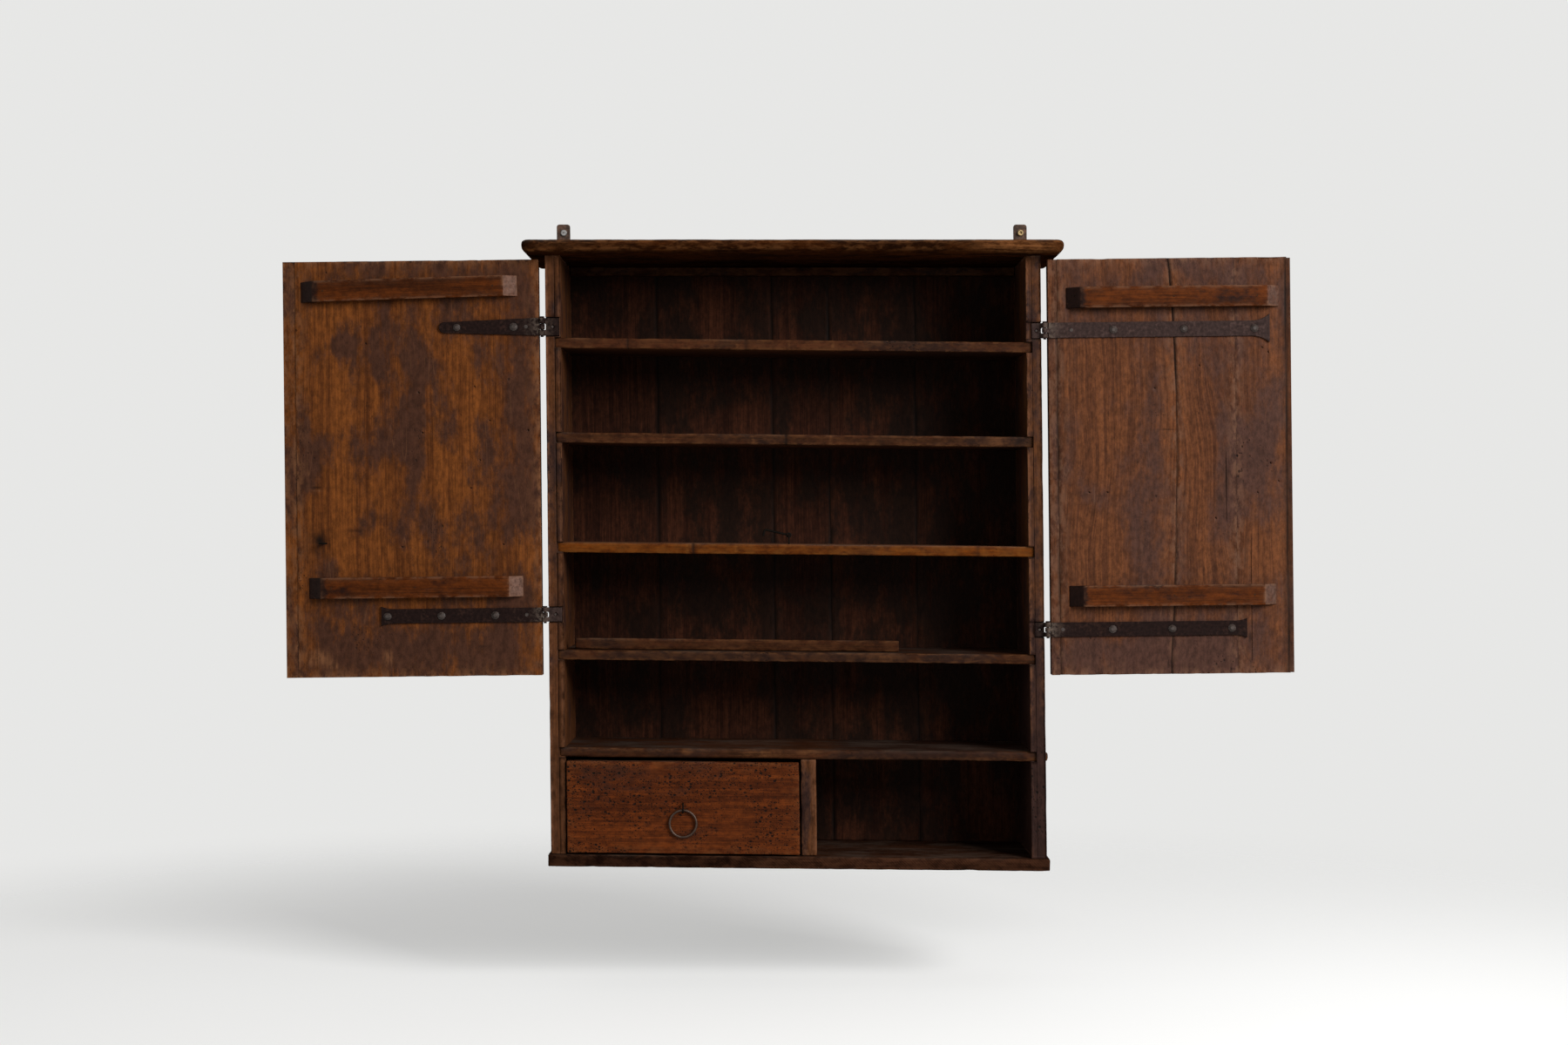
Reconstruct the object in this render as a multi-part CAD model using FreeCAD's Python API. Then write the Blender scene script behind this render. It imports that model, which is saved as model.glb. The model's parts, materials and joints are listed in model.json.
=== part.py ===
import FreeCAD, Part
import math
import os

# An old plank wall cabinet: four shelves behind two ledged doors, a drawer, a cubby and forged iron fittings.
# Millimetres, +Z up, front towards -Y, wall on the plane y = 0.
# The origin lies on the wall, midway between the two hanger holes. The doors stand open, flat to the sides.

Vector = FreeCAD.Vector
LEFT = -1
RIGHT = 1

# How far age has racked the carcase, in degrees
LEAN_ANGLE = 0.62           # sides and hinge lines lean, tops to the left
DROP_ANGLE = 0.57           # shelves and bottom fall to the right

# Carcase
CASE_WIDTH = 656.0          # over both sides
SIDE_THICK = 20.0
SIDE_DEPTH = 175.0          # from the front edge of a side to the back boards
CASE_HEIGHT = 829.6         # from the top's upper face to the underside of the bottom
BAY_1_SHARE = 0.1532        # clear heights of the bays, as shares of the room that the boards leave
BAY_2_SHARE = 0.1532
BAY_3_SHARE = 0.1809
BAY_4_SHARE = 0.1776
BAY_5_SHARE = 0.1593        # the drawer has the rest

# Top board, bottom board and the cleat under the top
TOP_THICK = 18.0
TOP_SIDE_LAP = 29.0
TOP_FRONT_LAP = 35.0
TOP_CORNER = 12.0
NOSE_UPPER = 5.0
NOSE_LOWER = 10.0
NOSE_SHARE = 0.9            # most of the thickness that both roundings may take
BOTTOM_THICK = 16.5
BOTTOM_SIDE_LAP = 4.0
BOTTOM_FRONT_LAP = 8.0
BOTTOM_EASE = 3.0
CLEAT_TALL = 12.0
CLEAT_DEEP = 20.0

# Shelves
SHELF_THICK = 14.0          # the upper three
LOW_SHELF_THICK = 13.0      # the one at the foot of the doors and the one over the drawer
SHELF_SETBACK = 4.0         # behind the front edges of the sides
HOUSING_DEPTH = 8.0         # how far the shelf ends are let into the sides
TENON_PROUD = 3.4           # the drawer shelf's tenon shows outside the right side
TENON_TALL = 11.0
TENON_LONG = 30.0
LIP_TALL = 15.0             # low rail on shelf 4
LIP_THICK = 10.0
LIP_LONG = 433.0
LIP_INSET = 12.0            # from the left side
LIP_SETBACK = 30.0          # behind the shelf's front edge
DIVIDER_THICK = 21.0

# Back boards, left to right, the fifth takes what is left
BACK_THICK = 13.0
BACK_1 = 139.0
BACK_2 = 160.0
BACK_3 = 79.0
BACK_4 = 120.0
BACK_SEAM = 0.8
BACK_LAP = 8.0              # half-lapped edges keep the seams dark

# Hanger plates, let into the back flush with the wall
HANGER_WIDTH = 19.0
HANGER_THICK = 3.0
HANGER_HOLE = 2.6           # radius
HOLE_ABOVE_TOP = 32.5
HANGER_HEAD = 12.0          # above the hole
HANGER_TAIL = 62.0          # below the top board
HANGER_ROUND = 4.0
HANGER_NAIL_INSET = 20.0    # from the top board and from the plate's foot

# Doors
DOOR_THICK = 20.0
DOOR_HEAD_GAP = 5.0         # under the top board, at the hinge
DOOR_FOOT_LAP = 17.5        # below shelf 4
DOOR_SEAM = 0.5
MEETING_OFFSET = 7.5        # where the doors meet, right of the middle
MEETING_GAP = 2.0
REBATE_WIDE = 7.0           # the right door's lip closes over the left door's tongue
REBATE_CLEAR = 0.4
LEFT_STRIP = 16.0           # closing-edge strip
RIGHT_STRIP = 12.0          # hinge-edge strip
RIGHT_BOARD_1 = 150.0
RIGHT_BOARD_2 = 85.0

# Battens across the doors, with long bevels at both ends
BATTEN_TALL = 28.0
BATTEN_PROUD = 15.0
BATTEN_BEVEL = 18.0
LEFT_UPPER_TILT = 1.2       # degrees
LEFT_UPPER_INSET = 27.0     # from the hinge edge
LEFT_UPPER_SHORT = 23.0     # from the closing edge
LEFT_LOWER_INSET = 23.0
LEFT_LOWER_SHORT = 30.0
RIGHT_UPPER_INSET = 23.0
RIGHT_UPPER_SHORT = 17.0
RIGHT_LOWER_INSET = 23.5
RIGHT_LOWER_SHORT = 24.0
LEFT_UPPER_BATTEN = 25.4    # foot of the batten, above the strap under it
RIGHT_UPPER_BATTEN = 8.9
LEFT_LOWER_BATTEN = 10.9
RIGHT_LOWER_BATTEN = 16.9

# Strap hinges: a pin, a strap on the door and a leaf let into the side's front edge
HINGE_OFFSET = 4.5          # hinge line outside the side, and the door's edge as far beyond it
AXIS_PROUD = 0.4            # hinge line, and the closed door, ahead of the sides
PIN_RADIUS = 2.0
PIN_CLEAR = 0.05
PIN_STANDS = 1.6            # past the end knuckles
PIN_HEAD = 3.0              # radius
KNUCKLES = 3
KNUCKLE_RADIUS = 4.0
KNUCKLE_GAP = 0.3
STRAP_THICK = 3.0
STRAP_CLEAR = 0.4           # between closed strap and leaf
STRAP_ROOT = 0.6            # the full-width strap starts this far outside the knuckle
LEAF_THICK = 3.0
LEFT_LEAF_SHORT = 2.5       # from the side's inner face
RIGHT_LEAF_SHORT = 7.5
NOTCH_CLEAR = 0.5
TAPER_ROOT = 24.0           # left upper strap
TAPER_TIP = 15.0
TAPER_LONG = 132.0
TAPER_ABOVE = 17.0          # above shelf 1
FLARE_WIDTH = 19.5          # both lower straps
FLARE_END = 26.5
FLARE_RUN = 16.0
LEFT_FLARE_LONG = 212.0
LEFT_FLARE_ABOVE = 50.0     # above shelf 4
RIGHT_FLARE_SHORT = 64.0    # from the right door's closing edge
RIGHT_FLARE_ABOVE = 30.0
FISHTAIL_WIDTH = 20.7       # right upper strap
FISHTAIL_END = 39.0
FISHTAIL_RUN = 24.0
FISHTAIL_SHORT = 30.0
FISHTAIL_ABOVE = 12.0

# Forged nails: rose heads on the straps, flush heads elsewhere
ROSE_RADIUS = 5.0
ROSE_CROWN = 2.4
ROSE_RISE = 3.0
ROSE_SIDES = 8
SHANK_SIDES = 4
WIRE_SIDES = 8              # staples, hook, eye and ring are hammered eight-sided, in short flats
BEND_FLAT_COUNT = 4
RING_FLAT_COUNT = 24
SHANK_RADIUS = 2.0          # from the middle to the corners of the square shank
SHANK_TIP = 0.7
FLUSH_RADIUS = 4.2
FLUSH_DEEP = 2.0
NAIL_BITE = 22.0            # into the second board
CASE_NAIL_INSET = 44.0      # from the front and rear edges of the sides
DRAWER_NAIL_INSET = 25.0    # from the top and foot of the drawer sides
DOOR_BITE = 15.0            # into a door, short of its outer face
TAPER_NAIL_COUNT = 2
TAPER_FIRST_NAIL = 33.0     # from the hinge edge, clear of the side when the door shuts
TAPER_LAST_NAIL = 24.0      # from the strap's tip
LONG_NAIL_COUNT = 3
LEFT_FLARE_FIRST_NAIL = 61.0
LEFT_FLARE_LAST_NAIL = 8.5
RIGHT_FLARE_FIRST_NAIL = 81.0
FISHTAIL_FIRST_NAIL = 86.0
RIGHT_LAST_NAIL = 20.5
BATTEN_NAIL_COUNT = 3
BATTEN_NAIL_INSET = 14.0    # from the top of the bevel

# Hook and eye that hold the left door
CATCH_SETBACK = 13.0        # behind the front edges of the sides
EYE_FROM_EDGE = 286.0       # from the door's hinge edge
EYE_HEIGHT = 7.0            # above shelf 3, door shut
EYE_RADIUS = 4.8
EYE_WIRE = 1.25
EYE_BITE = 12.0
HOOK_REACH = 33.0
HOOK_DROP = 9.0
HOOK_WIRE = 1.6
HOOK_RAISED = 13.0          # degrees, held clear of the eye
HOOK_ROLL = 3.6
HOOK_ROLL_LONG = 5.0
PIVOT_HEIGHT = 12.0         # above shelf 3
STAPLE_WIRE = 1.2
STAPLE_BEND = 2.0
STAPLE_SPAN = 11.0
STAPLE_BITE = 9.0

# Drawer
DRAWER_OPENING = 311.0
DRAWER_SIDE_GAP = 1.5
DRAWER_RUN = 0.3            # above the bottom board
FRONT_THICK = 18.0
FRONT_PROUD = 5.0
FRONT_HEAD_GAP = 4.0
FRONT_FOOT_GAP = 2.0
FRONT_REBATE = 10.0         # the sides are let into the front this far
DRAWER_BOARD = 9.0
DRAWER_FLOOR = 7.0
DRAWER_INSET = 1.0          # sides, from the ends of the front
DRAWER_SIDE_LOW = 8.0       # below the top of the front
DRAWER_BACK_LOW = 6.0       # below the top of the sides
DRAWER_REAR_GAP = 8.0

# Ring pull
RING_RADIUS = 17.8          # to the middle of its wire
RING_WIRE = 1.7
RING_CLEAR = 1.5            # from the drawer front
RING_SLACK = 0.3
RING_STAPLE_SPAN = 12.0
RING_STAPLE_BITE = 14.0

# Places that follow from the sizes
LEVEL = 0.0
lean = math.tan(math.radians(LEAN_ANGLE))
drop = math.tan(math.radians(DROP_ANGLE))
half_width = CASE_WIDTH / 2
inner = half_width - SIDE_THICK
wall = 0.0
back_front = wall - BACK_THICK
case_front = back_front - SIDE_DEPTH
shelf_front = case_front + SHELF_SETBACK
top_face = -HOLE_ABOVE_TOP
top_under = top_face - TOP_THICK

shelf_top = {}
shelf_under = {}
floor = top_face - CASE_HEIGHT + BOTTOM_THICK
room = top_under - floor - 3 * SHELF_THICK - 2 * LOW_SHELF_THICK
height = top_under
for shelf_name, share, thick in (
    ("shelf_1", BAY_1_SHARE, SHELF_THICK),
    ("shelf_2", BAY_2_SHARE, SHELF_THICK),
    ("shelf_3", BAY_3_SHARE, SHELF_THICK),
    ("shelf_4", BAY_4_SHARE, LOW_SHELF_THICK),
    ("drawer_shelf", BAY_5_SHARE, LOW_SHELF_THICK),
):
    shelf_top[shelf_name] = height - share * room
    shelf_under[shelf_name] = shelf_top[shelf_name] - thick
    height = shelf_under[shelf_name]

left_upper_hinge = shelf_top["shelf_1"] + TAPER_ABOVE
left_lower_hinge = shelf_top["shelf_4"] + LEFT_FLARE_ABOVE
right_upper_hinge = shelf_top["shelf_1"] + FISHTAIL_ABOVE
right_lower_hinge = shelf_top["shelf_4"] + RIGHT_FLARE_ABOVE
axis_out = half_width + HINGE_OFFSET
axis_depth = case_front - AXIS_PROUD
door_head = top_under - DOOR_HEAD_GAP
door_foot = shelf_under["shelf_4"] - DOOR_FOOT_LAP
door_start = HINGE_OFFSET
meeting_lap = REBATE_WIDE - MEETING_GAP
left_width = half_width + MEETING_OFFSET + meeting_lap / 2
right_width = half_width - MEETING_OFFSET + meeting_lap / 2

pieces = {}


# Basic shapes

def racked(x, z, fall=drop):
    """Where a point of the square-built carcase lies now that it leans and its shelves fall."""
    level = z - fall * x
    return x - lean * level, level


def prism(outline, front, rear):
    """Solid with an outline across the cabinet, from depth front to depth rear."""
    corners = [Vector(x, front, z) for x, z in outline]
    face = Part.Face(Part.makePolygon(corners + corners[:1]))
    return face.extrude(Vector(0, rear - front, 0))


def falling_board(left, right, low, high, front, rear):
    """Board whose faces follow the fall of the shelves and whose ends follow the lean of the sides."""
    outline = [racked(left, low), racked(right, low), racked(right, high), racked(left, high)]
    return prism(outline, front, rear)


def upright_board(left, right, front, rear):
    """Board standing on the bottom board, cut level under the top board."""
    outline = [racked(left, floor), racked(right, floor)]
    outline += [racked(right, top_under, LEVEL), racked(left, top_under, LEVEL)]
    return prism(outline, front, rear)


def slab(side, u, v, w):
    """Box in a door's own directions: u out from the hinge line, v back from the face, w up that line."""
    low = min(side * u[0], side * u[1])
    return Part.makeBox(u[1] - u[0], v[1] - v[0], w[1] - w[0], Vector(low, v[0], w[0]))


def placed(shape, spot, turn):
    """Copy of a shape, turned and then moved to a spot."""
    moved = shape.copy()
    moved.Placement = FreeCAD.Placement(spot, turn).multiply(shape.Placement)
    return moved


def hang(shape, side):
    """Carry a shape from a door's own directions to its leaning hinge line."""
    turn = FreeCAD.Rotation(Vector(0, 1, 0), -LEAN_ANGLE)
    return placed(shape, Vector(side * axis_out, axis_depth, 0), turn)


def hang_all(names, side):
    """Hang finished pieces on their hinge line."""
    for name in names:
        pieces[name] = hang(pieces[name], side)


def seat(fasteners, *names):
    """Cut the holes that a group of fasteners fills in the pieces they hold."""
    for name in names:
        pieces[name] = pieces[name].cut(fasteners)


def spread(first, last, count):
    """Evenly spaced places from first to last."""
    return [first + (last - first) * k / (count - 1) for k in range(count)]


def regular(sides, radius, level):
    """Corners of a regular polygon about Z."""
    turn = 2 * math.pi / sides
    return [Vector(radius * math.cos(k * turn), radius * math.sin(k * turn), level) for k in range(sides)]


def closed_solid(outlines):
    """Solid inside flat faces with the given outlines."""
    faces = [Part.Face(Part.makePolygon(corners + corners[:1])) for corners in outlines]
    solid = Part.makeSolid(Part.makeShell(faces))
    if solid.Volume < 0:
        solid.reverse()
    return solid


def wire(points, radius, closed=False):
    """Hammered wire along points in one plane, mitred at every turn."""
    ends = points[1:]
    if closed:
        ends = ends + points[:1]
    runs = [(end - start).normalize() for start, end in zip(points, ends)]
    arriving = runs[-1:] + runs[:-1] if closed else runs[:1] + runs
    leaving = runs if closed else runs + runs[-1:]
    normal = runs[0].cross(runs[1]).normalize()
    rings = []
    for spot, come, go in zip(points, arriving, leaving):
        along = (come + go).normalize()
        mitre = along.cross(normal) / along.dot(go)
        section = regular(WIRE_SIDES, radius, 0)
        rings.append([spot + normal * corner.x + mitre * corner.y for corner in section])
    outlines = [] if closed else [rings[0], rings[-1]]
    following = rings[1:] + rings[:1] if closed else rings[1:]
    for near, far in zip(rings, following):
        for k in range(WIRE_SIDES):
            outlines.append([near[k - 1], near[k], far[k], far[k - 1]])
    return closed_solid(outlines)


def rod(corners, bend, radius):
    """Hammered rod along straight runs in one plane, joined by tangent bends."""
    points = corners[:1]
    for before, corner, after in zip(corners, corners[1:], corners[2:]):
        along = (corner - before).normalize()
        ahead = (after - corner).normalize()
        angle = along.getAngle(ahead)
        normal = along.cross(ahead).normalize()
        start = corner - along * bend * math.tan(angle / 2)
        centre = start + normal.cross(along) * bend
        for turn in spread(0, math.degrees(angle), BEND_FLAT_COUNT + 1):
            points.append(centre + FreeCAD.Rotation(normal, turn).multVec(start - centre))
    return wire(points + corners[-1:], radius)


def wire_ring(radius, thick, centre, axis):
    """Closed ring of hammered wire about an axis through its centre."""
    ring = wire(regular(RING_FLAT_COUNT, radius, 0), thick, True)
    return placed(ring, centre, FreeCAD.Rotation(Vector(0, 0, 1), axis))


def staple(span, rise, bite):
    """Wire staple: legs down from z = rise to z = -bite, bridge along X."""
    half = span / 2
    left = [Vector(-half, 0, -bite), Vector(-half, 0, rise)]
    right = [Vector(half, 0, rise), Vector(half, 0, -bite)]
    return rod(left + right, STAPLE_BEND, STAPLE_WIRE)


def taper(sides, start, end, near, far):
    """Straight-sided taper along Z between two regular polygons."""
    first = regular(sides, start, near)
    last = regular(sides, end, far)
    outlines = [first, last]
    for k in range(sides):
        outlines.append([first[k - 1], first[k], last[k], last[k - 1]])
    return closed_solid(outlines)


def rose_nail(length):
    """Forged nail along Z with a faceted head standing on the surface at z = 0."""
    head = taper(ROSE_SIDES, ROSE_RADIUS, ROSE_CROWN, 0, -ROSE_RISE)
    return head.fuse(taper(SHANK_SIDES, SHANK_RADIUS, SHANK_TIP, 0, length))


def flush_nail(length):
    """Forged nail along Z whose square head is driven level with the surface at z = 0."""
    head = taper(SHANK_SIDES, FLUSH_RADIUS, SHANK_RADIUS, 0, FLUSH_DEEP)
    return head.fuse(taper(SHANK_SIDES, SHANK_RADIUS, SHANK_TIP, FLUSH_DEEP, length))


def drive(nail, spots, into):
    """Group of like nails, one at each spot, pointing into the wood."""
    turn = FreeCAD.Rotation(Vector(0, 0, 1), into)
    return Part.makeCompound([placed(nail, spot, turn) for spot in spots])


# Carcase boards

def make_top():
    """Overhanging top with rounded front corners and a worn, rounded nose on three edges."""
    left = racked(-half_width - TOP_SIDE_LAP, top_under, LEVEL)[0]
    length = CASE_WIDTH + 2 * TOP_SIDE_LAP
    front = case_front - TOP_FRONT_LAP
    rear = wall - HANGER_THICK
    board = Part.makeBox(length, rear - front, TOP_THICK, Vector(left, front, top_under))
    corners = [e for e in board.Edges if e.BoundBox.ZLength > TOP_THICK / 2 and e.BoundBox.YMax < rear]
    board = board.makeFillet(TOP_CORNER, corners)
    fit = min(1, NOSE_SHARE * TOP_THICK / (NOSE_UPPER + NOSE_LOWER))
    middle = top_under + TOP_THICK / 2
    for radius, wanted in ((NOSE_UPPER * fit, 1), (NOSE_LOWER * fit, -1)):
        rim = []
        for edge in board.Edges:
            box = edge.BoundBox
            flat = box.ZLength < radius / 2
            behind = box.YMin > rear - radius
            if flat and not behind and (box.Center.z - middle) * wanted > 0:
                rim.append(edge)
        board = board.makeFillet(radius, rim)
    pieces["top_board"] = board


def make_bottom():
    """Bottom board under the sides and the back, with eased front edges."""
    reach = half_width + BOTTOM_SIDE_LAP
    front = case_front - BOTTOM_FRONT_LAP
    board = falling_board(-reach, reach, floor - BOTTOM_THICK, floor, front, wall)
    long_front = [e for e in board.Edges if e.BoundBox.XLength > reach and e.BoundBox.YMax < case_front]
    pieces["bottom_board"] = board.makeFillet(BOTTOM_EASE, long_front)


def make_shelves():
    """Shelves let into the sides, the lip on shelf 4, the drawer divider and the cleat."""
    end = inner + HOUSING_DEPTH
    for name, top in shelf_top.items():
        pieces[name] = falling_board(-end, end, shelf_under[name], top, shelf_front, back_front)
    middle = (shelf_top["drawer_shelf"] + shelf_under["drawer_shelf"]) / 2
    tenon = falling_board(
        inner, half_width + TENON_PROUD, middle - TENON_TALL / 2, middle + TENON_TALL / 2,
        shelf_front, shelf_front + TENON_LONG,
    )
    pieces["drawer_shelf"] = pieces["drawer_shelf"].fuse(tenon).removeSplitter()

    lip_left = -inner + LIP_INSET
    lip_front = shelf_front + LIP_SETBACK
    lip_foot = shelf_top["shelf_4"]
    pieces["shelf_lip"] = falling_board(
        lip_left, lip_left + LIP_LONG, lip_foot, lip_foot + LIP_TALL, lip_front, lip_front + LIP_THICK
    )
    divider_left = -inner + DRAWER_OPENING
    divider_right = divider_left + DIVIDER_THICK
    pieces["drawer_divider"] = falling_board(
        divider_left, divider_right, floor, shelf_under["drawer_shelf"], shelf_front, back_front
    )
    cleat = [racked(-inner, top_under - CLEAT_TALL, LEVEL), racked(inner, top_under - CLEAT_TALL, LEVEL)]
    cleat += [racked(inner, top_under, LEVEL), racked(-inner, top_under, LEVEL)]
    pieces["top_cleat"] = prism(cleat, back_front - CLEAT_DEEP, back_front)


def make_sides():
    """Side boards, housed right to the front for the shelves and mortised for the drawer shelf's tenon."""
    end = inner + HOUSING_DEPTH
    cuts = [pieces["drawer_shelf"]]
    for name, top in shelf_top.items():
        cuts.append(falling_board(-end, end, shelf_under[name], top, case_front, back_front))
    pieces["left_side"] = upright_board(-half_width, -inner, case_front, back_front).cut(cuts)
    pieces["right_side"] = upright_board(inner, half_width, case_front, back_front).cut(cuts)


def make_back():
    """Five upright back boards, half-lapped, with open seams between them."""
    edges = [-half_width]
    for width in (BACK_1, BACK_2, BACK_3, BACK_4):
        edges.append(edges[-1] + width)
    edges.append(half_width)
    half_way = (back_front + wall) / 2
    for k, (left, right) in enumerate(zip(edges, edges[1:])):
        rear_left, rear_right = left, right
        if left != edges[0]:
            left = left + BACK_SEAM / 2
            rear_left = left - BACK_LAP
        if right != edges[-1]:
            right = right - BACK_SEAM / 2
            rear_right = right - BACK_LAP
        front_half = upright_board(left, right, back_front, half_way)
        rear_half = upright_board(rear_left, rear_right, half_way, wall)
        pieces[f"back_board_{k + 1}"] = front_half.fuse(rear_half).removeSplitter()

    spots = []
    for left, right in zip(edges, edges[1:]):
        for name in ("shelf_2", "shelf_4"):
            x, z = racked((left + right) / 2, (shelf_top[name] + shelf_under[name]) / 2)
            spots.append(Vector(x, wall, z))
    pieces["back_nails"] = drive(flush_nail(BACK_THICK + NAIL_BITE), spots, Vector(0, -1, 0))
    boards = [f"back_board_{k + 1}" for k in range(len(edges) - 1)]
    seat(pieces["back_nails"], "shelf_2", "shelf_4", *boards)


def make_hangers():
    """Iron plates behind the sides, rising above the top, each with its screw hole."""
    foot = top_under - HANGER_TAIL
    spots = []
    for name, side, board in (("left_hanger", LEFT, "back_board_1"), ("right_hanger", RIGHT, "back_board_5")):
        outer = side * half_width
        near = side * (half_width - HANGER_WIDTH)
        middle = (outer + near) / 2
        outline = [racked(near, foot, LEVEL), racked(outer, foot, LEVEL)]
        outline += [racked(outer, HANGER_HEAD, LEVEL), racked(near, HANGER_HEAD, LEVEL)]
        plate = prism(outline, wall - HANGER_THICK, wall)
        shoulders = [e for e in plate.Edges if e.BoundBox.ZMin > 0 and e.BoundBox.YLength > HANGER_THICK / 2]
        plate = plate.makeFillet(HANGER_ROUND, shoulders)
        rim = Vector(middle, wall - HANGER_THICK, 0)
        hole = Part.makeCylinder(HANGER_HOLE, HANGER_THICK, rim, Vector(0, 1, 0))
        pieces[board] = pieces[board].cut(plate)
        pieces[name] = plate.cut(hole)
        for z in (top_under - HANGER_NAIL_INSET, foot + HANGER_NAIL_INSET):
            x, level = racked(middle, z, LEVEL)
            spots.append(Vector(x, wall, level))
    pieces["hanger_nails"] = drive(flush_nail(BACK_THICK + NAIL_BITE), spots, Vector(0, -1, 0))
    seat(
        pieces["hanger_nails"], "left_hanger", "right_hanger", "back_board_1", "back_board_5",
        "left_side", "right_side",
    )


def make_case_nails():
    """Nails down through the top and up through the bottom into the ends of the sides."""
    middle = (half_width + inner) / 2
    down = []
    up = []
    for side in (LEFT, RIGHT):
        for y in (case_front + CASE_NAIL_INSET, back_front - CASE_NAIL_INSET):
            down.append(Vector(racked(side * middle, top_under, LEVEL)[0], y, top_face))
            x, z = racked(side * middle, floor - BOTTOM_THICK)
            up.append(Vector(x, y, z))
    from_top = drive(flush_nail(TOP_THICK + NAIL_BITE), down, Vector(0, 0, -1))
    from_foot = drive(flush_nail(BOTTOM_THICK + NAIL_BITE), up, Vector(0, 0, 1))
    pieces["case_nails"] = Part.makeCompound(from_top.Solids + from_foot.Solids)
    seat(pieces["case_nails"], "top_board", "bottom_board", "left_side", "right_side")


# Hinges

def knuckle_spans(mid, width):
    """Heights of the knuckles of one hinge, from the foot up."""
    pitch = width / KNUCKLES
    foot = mid - width / 2 + KNUCKLE_GAP / 2
    return [(foot + k * pitch, foot + (k + 1) * pitch - KNUCKLE_GAP) for k in range(KNUCKLES)]


def roll(span):
    """One knuckle, a solid round about the hinge line."""
    return Part.makeCylinder(KNUCKLE_RADIUS, span[1] - span[0], Vector(0, 0, span[0]))


def bore(mid, width):
    """Hole for the pin through all knuckles of one hinge."""
    return Part.makeCylinder(PIN_RADIUS + PIN_CLEAR, width * 2, Vector(0, 0, mid - width))


def strap(side, mid, width, outline):
    """Strap on the door's inner face: a flat plate with a tongue rolled round the pin."""
    face = Part.Face(Part.Wire(outline))
    plate = face.extrude(Vector(0, STRAP_THICK, 0))
    middle = knuckle_spans(mid, width)[1]
    tongue = slab(side, (0, KNUCKLE_RADIUS + STRAP_ROOT), (-STRAP_THICK, 0), middle)
    return plate.fuse([tongue, roll(middle)]).removeSplitter().cut(bore(mid, width))


def strap_point(side, u, w):
    """Point on the near face of a strap."""
    return Vector(side * u, -STRAP_THICK, w)


def line(start, end):
    """Straight edge between two points."""
    return Part.LineSegment(start, end).toShape()


def tapered_outline(side, mid, length):
    """Strap that narrows to a rounded tip."""
    root = KNUCKLE_RADIUS + STRAP_ROOT
    neck = length - TAPER_TIP / 2
    low = strap_point(side, root, mid - TAPER_ROOT / 2)
    high = strap_point(side, root, mid + TAPER_ROOT / 2)
    tip_low = strap_point(side, neck, mid - TAPER_TIP / 2)
    tip_high = strap_point(side, neck, mid + TAPER_TIP / 2)
    tip = Part.Arc(tip_low, strap_point(side, length, mid), tip_high).toShape()
    return [line(low, tip_low), tip, line(tip_high, high), line(high, low)]


def flared_outline(side, mid, length, width, end, run):
    """Parallel strap that sweeps out to a broad square end."""
    root = KNUCKLE_RADIUS + STRAP_ROOT
    rise = (end - width) / 2
    sweep = (run ** 2 + rise ** 2) / (2 * rise)
    angle = math.atan2(rise, run)
    edges = []
    ends = []
    roots = []
    for way in (-1, 1):
        near = strap_point(side, root, mid + way * width / 2)
        neck = strap_point(side, length - run, mid + way * width / 2)
        lift = width / 2 + sweep * (1 - math.cos(angle))
        half_way = strap_point(side, length - run + sweep * math.sin(angle), mid + way * lift)
        corner = strap_point(side, length, mid + way * end / 2)
        edges.append([line(near, neck), Part.Arc(neck, half_way, corner).toShape()])
        ends.append(corner)
        roots.append(near)
    low, high = edges
    return low + [line(*ends)] + high[::-1] + [line(*roots)]


def leaf(side, mid, width, reach):
    """Leaf let into the side's front edge, with the two end knuckles."""
    front = STRAP_THICK + STRAP_CLEAR
    rear = front + LEAF_THICK
    inward = KNUCKLE_RADIUS / 2
    foot, middle, head = knuckle_spans(mid, width)
    body = slab(side, (-reach, -HINGE_OFFSET), (front, rear), (foot[0], head[1]))
    parts = []
    for span in (foot, head):
        parts.append(slab(side, (-HINGE_OFFSET, inward), (front, rear), span))
        parts.append(slab(side, (-KNUCKLE_RADIUS, inward), (inward, rear), span))
        parts.append(roll(span))
    return body.fuse(parts).removeSplitter().cut(bore(mid, width))


def pin(mid, width):
    """Hinge pin with a low head on its upper end."""
    foot = mid - width / 2 - PIN_STANDS
    top = mid + width / 2
    shank = Part.makeCylinder(PIN_RADIUS, top - foot, Vector(0, 0, foot))
    return shank.fuse(Part.makeCylinder(PIN_HEAD, PIN_STANDS, Vector(0, 0, top))).removeSplitter()


def notch(side, mid, width, reach):
    """Room in the side's front edge: shallow for the strap when the door shuts, deeper for the leaf."""
    strap_bed = STRAP_THICK + STRAP_CLEAR
    front = AXIS_PROUD / 2
    tall = width / 2 + NOTCH_CLEAR
    span = (mid - tall, mid + tall)
    outside = -HINGE_OFFSET + NOTCH_CLEAR
    inside = -HINGE_OFFSET - SIDE_THICK - NOTCH_CLEAR
    shallow = slab(side, (inside, outside), (front, strap_bed), span)
    return shallow.fuse(slab(side, (-reach, outside), (front, strap_bed + LEAF_THICK), span))


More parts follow.
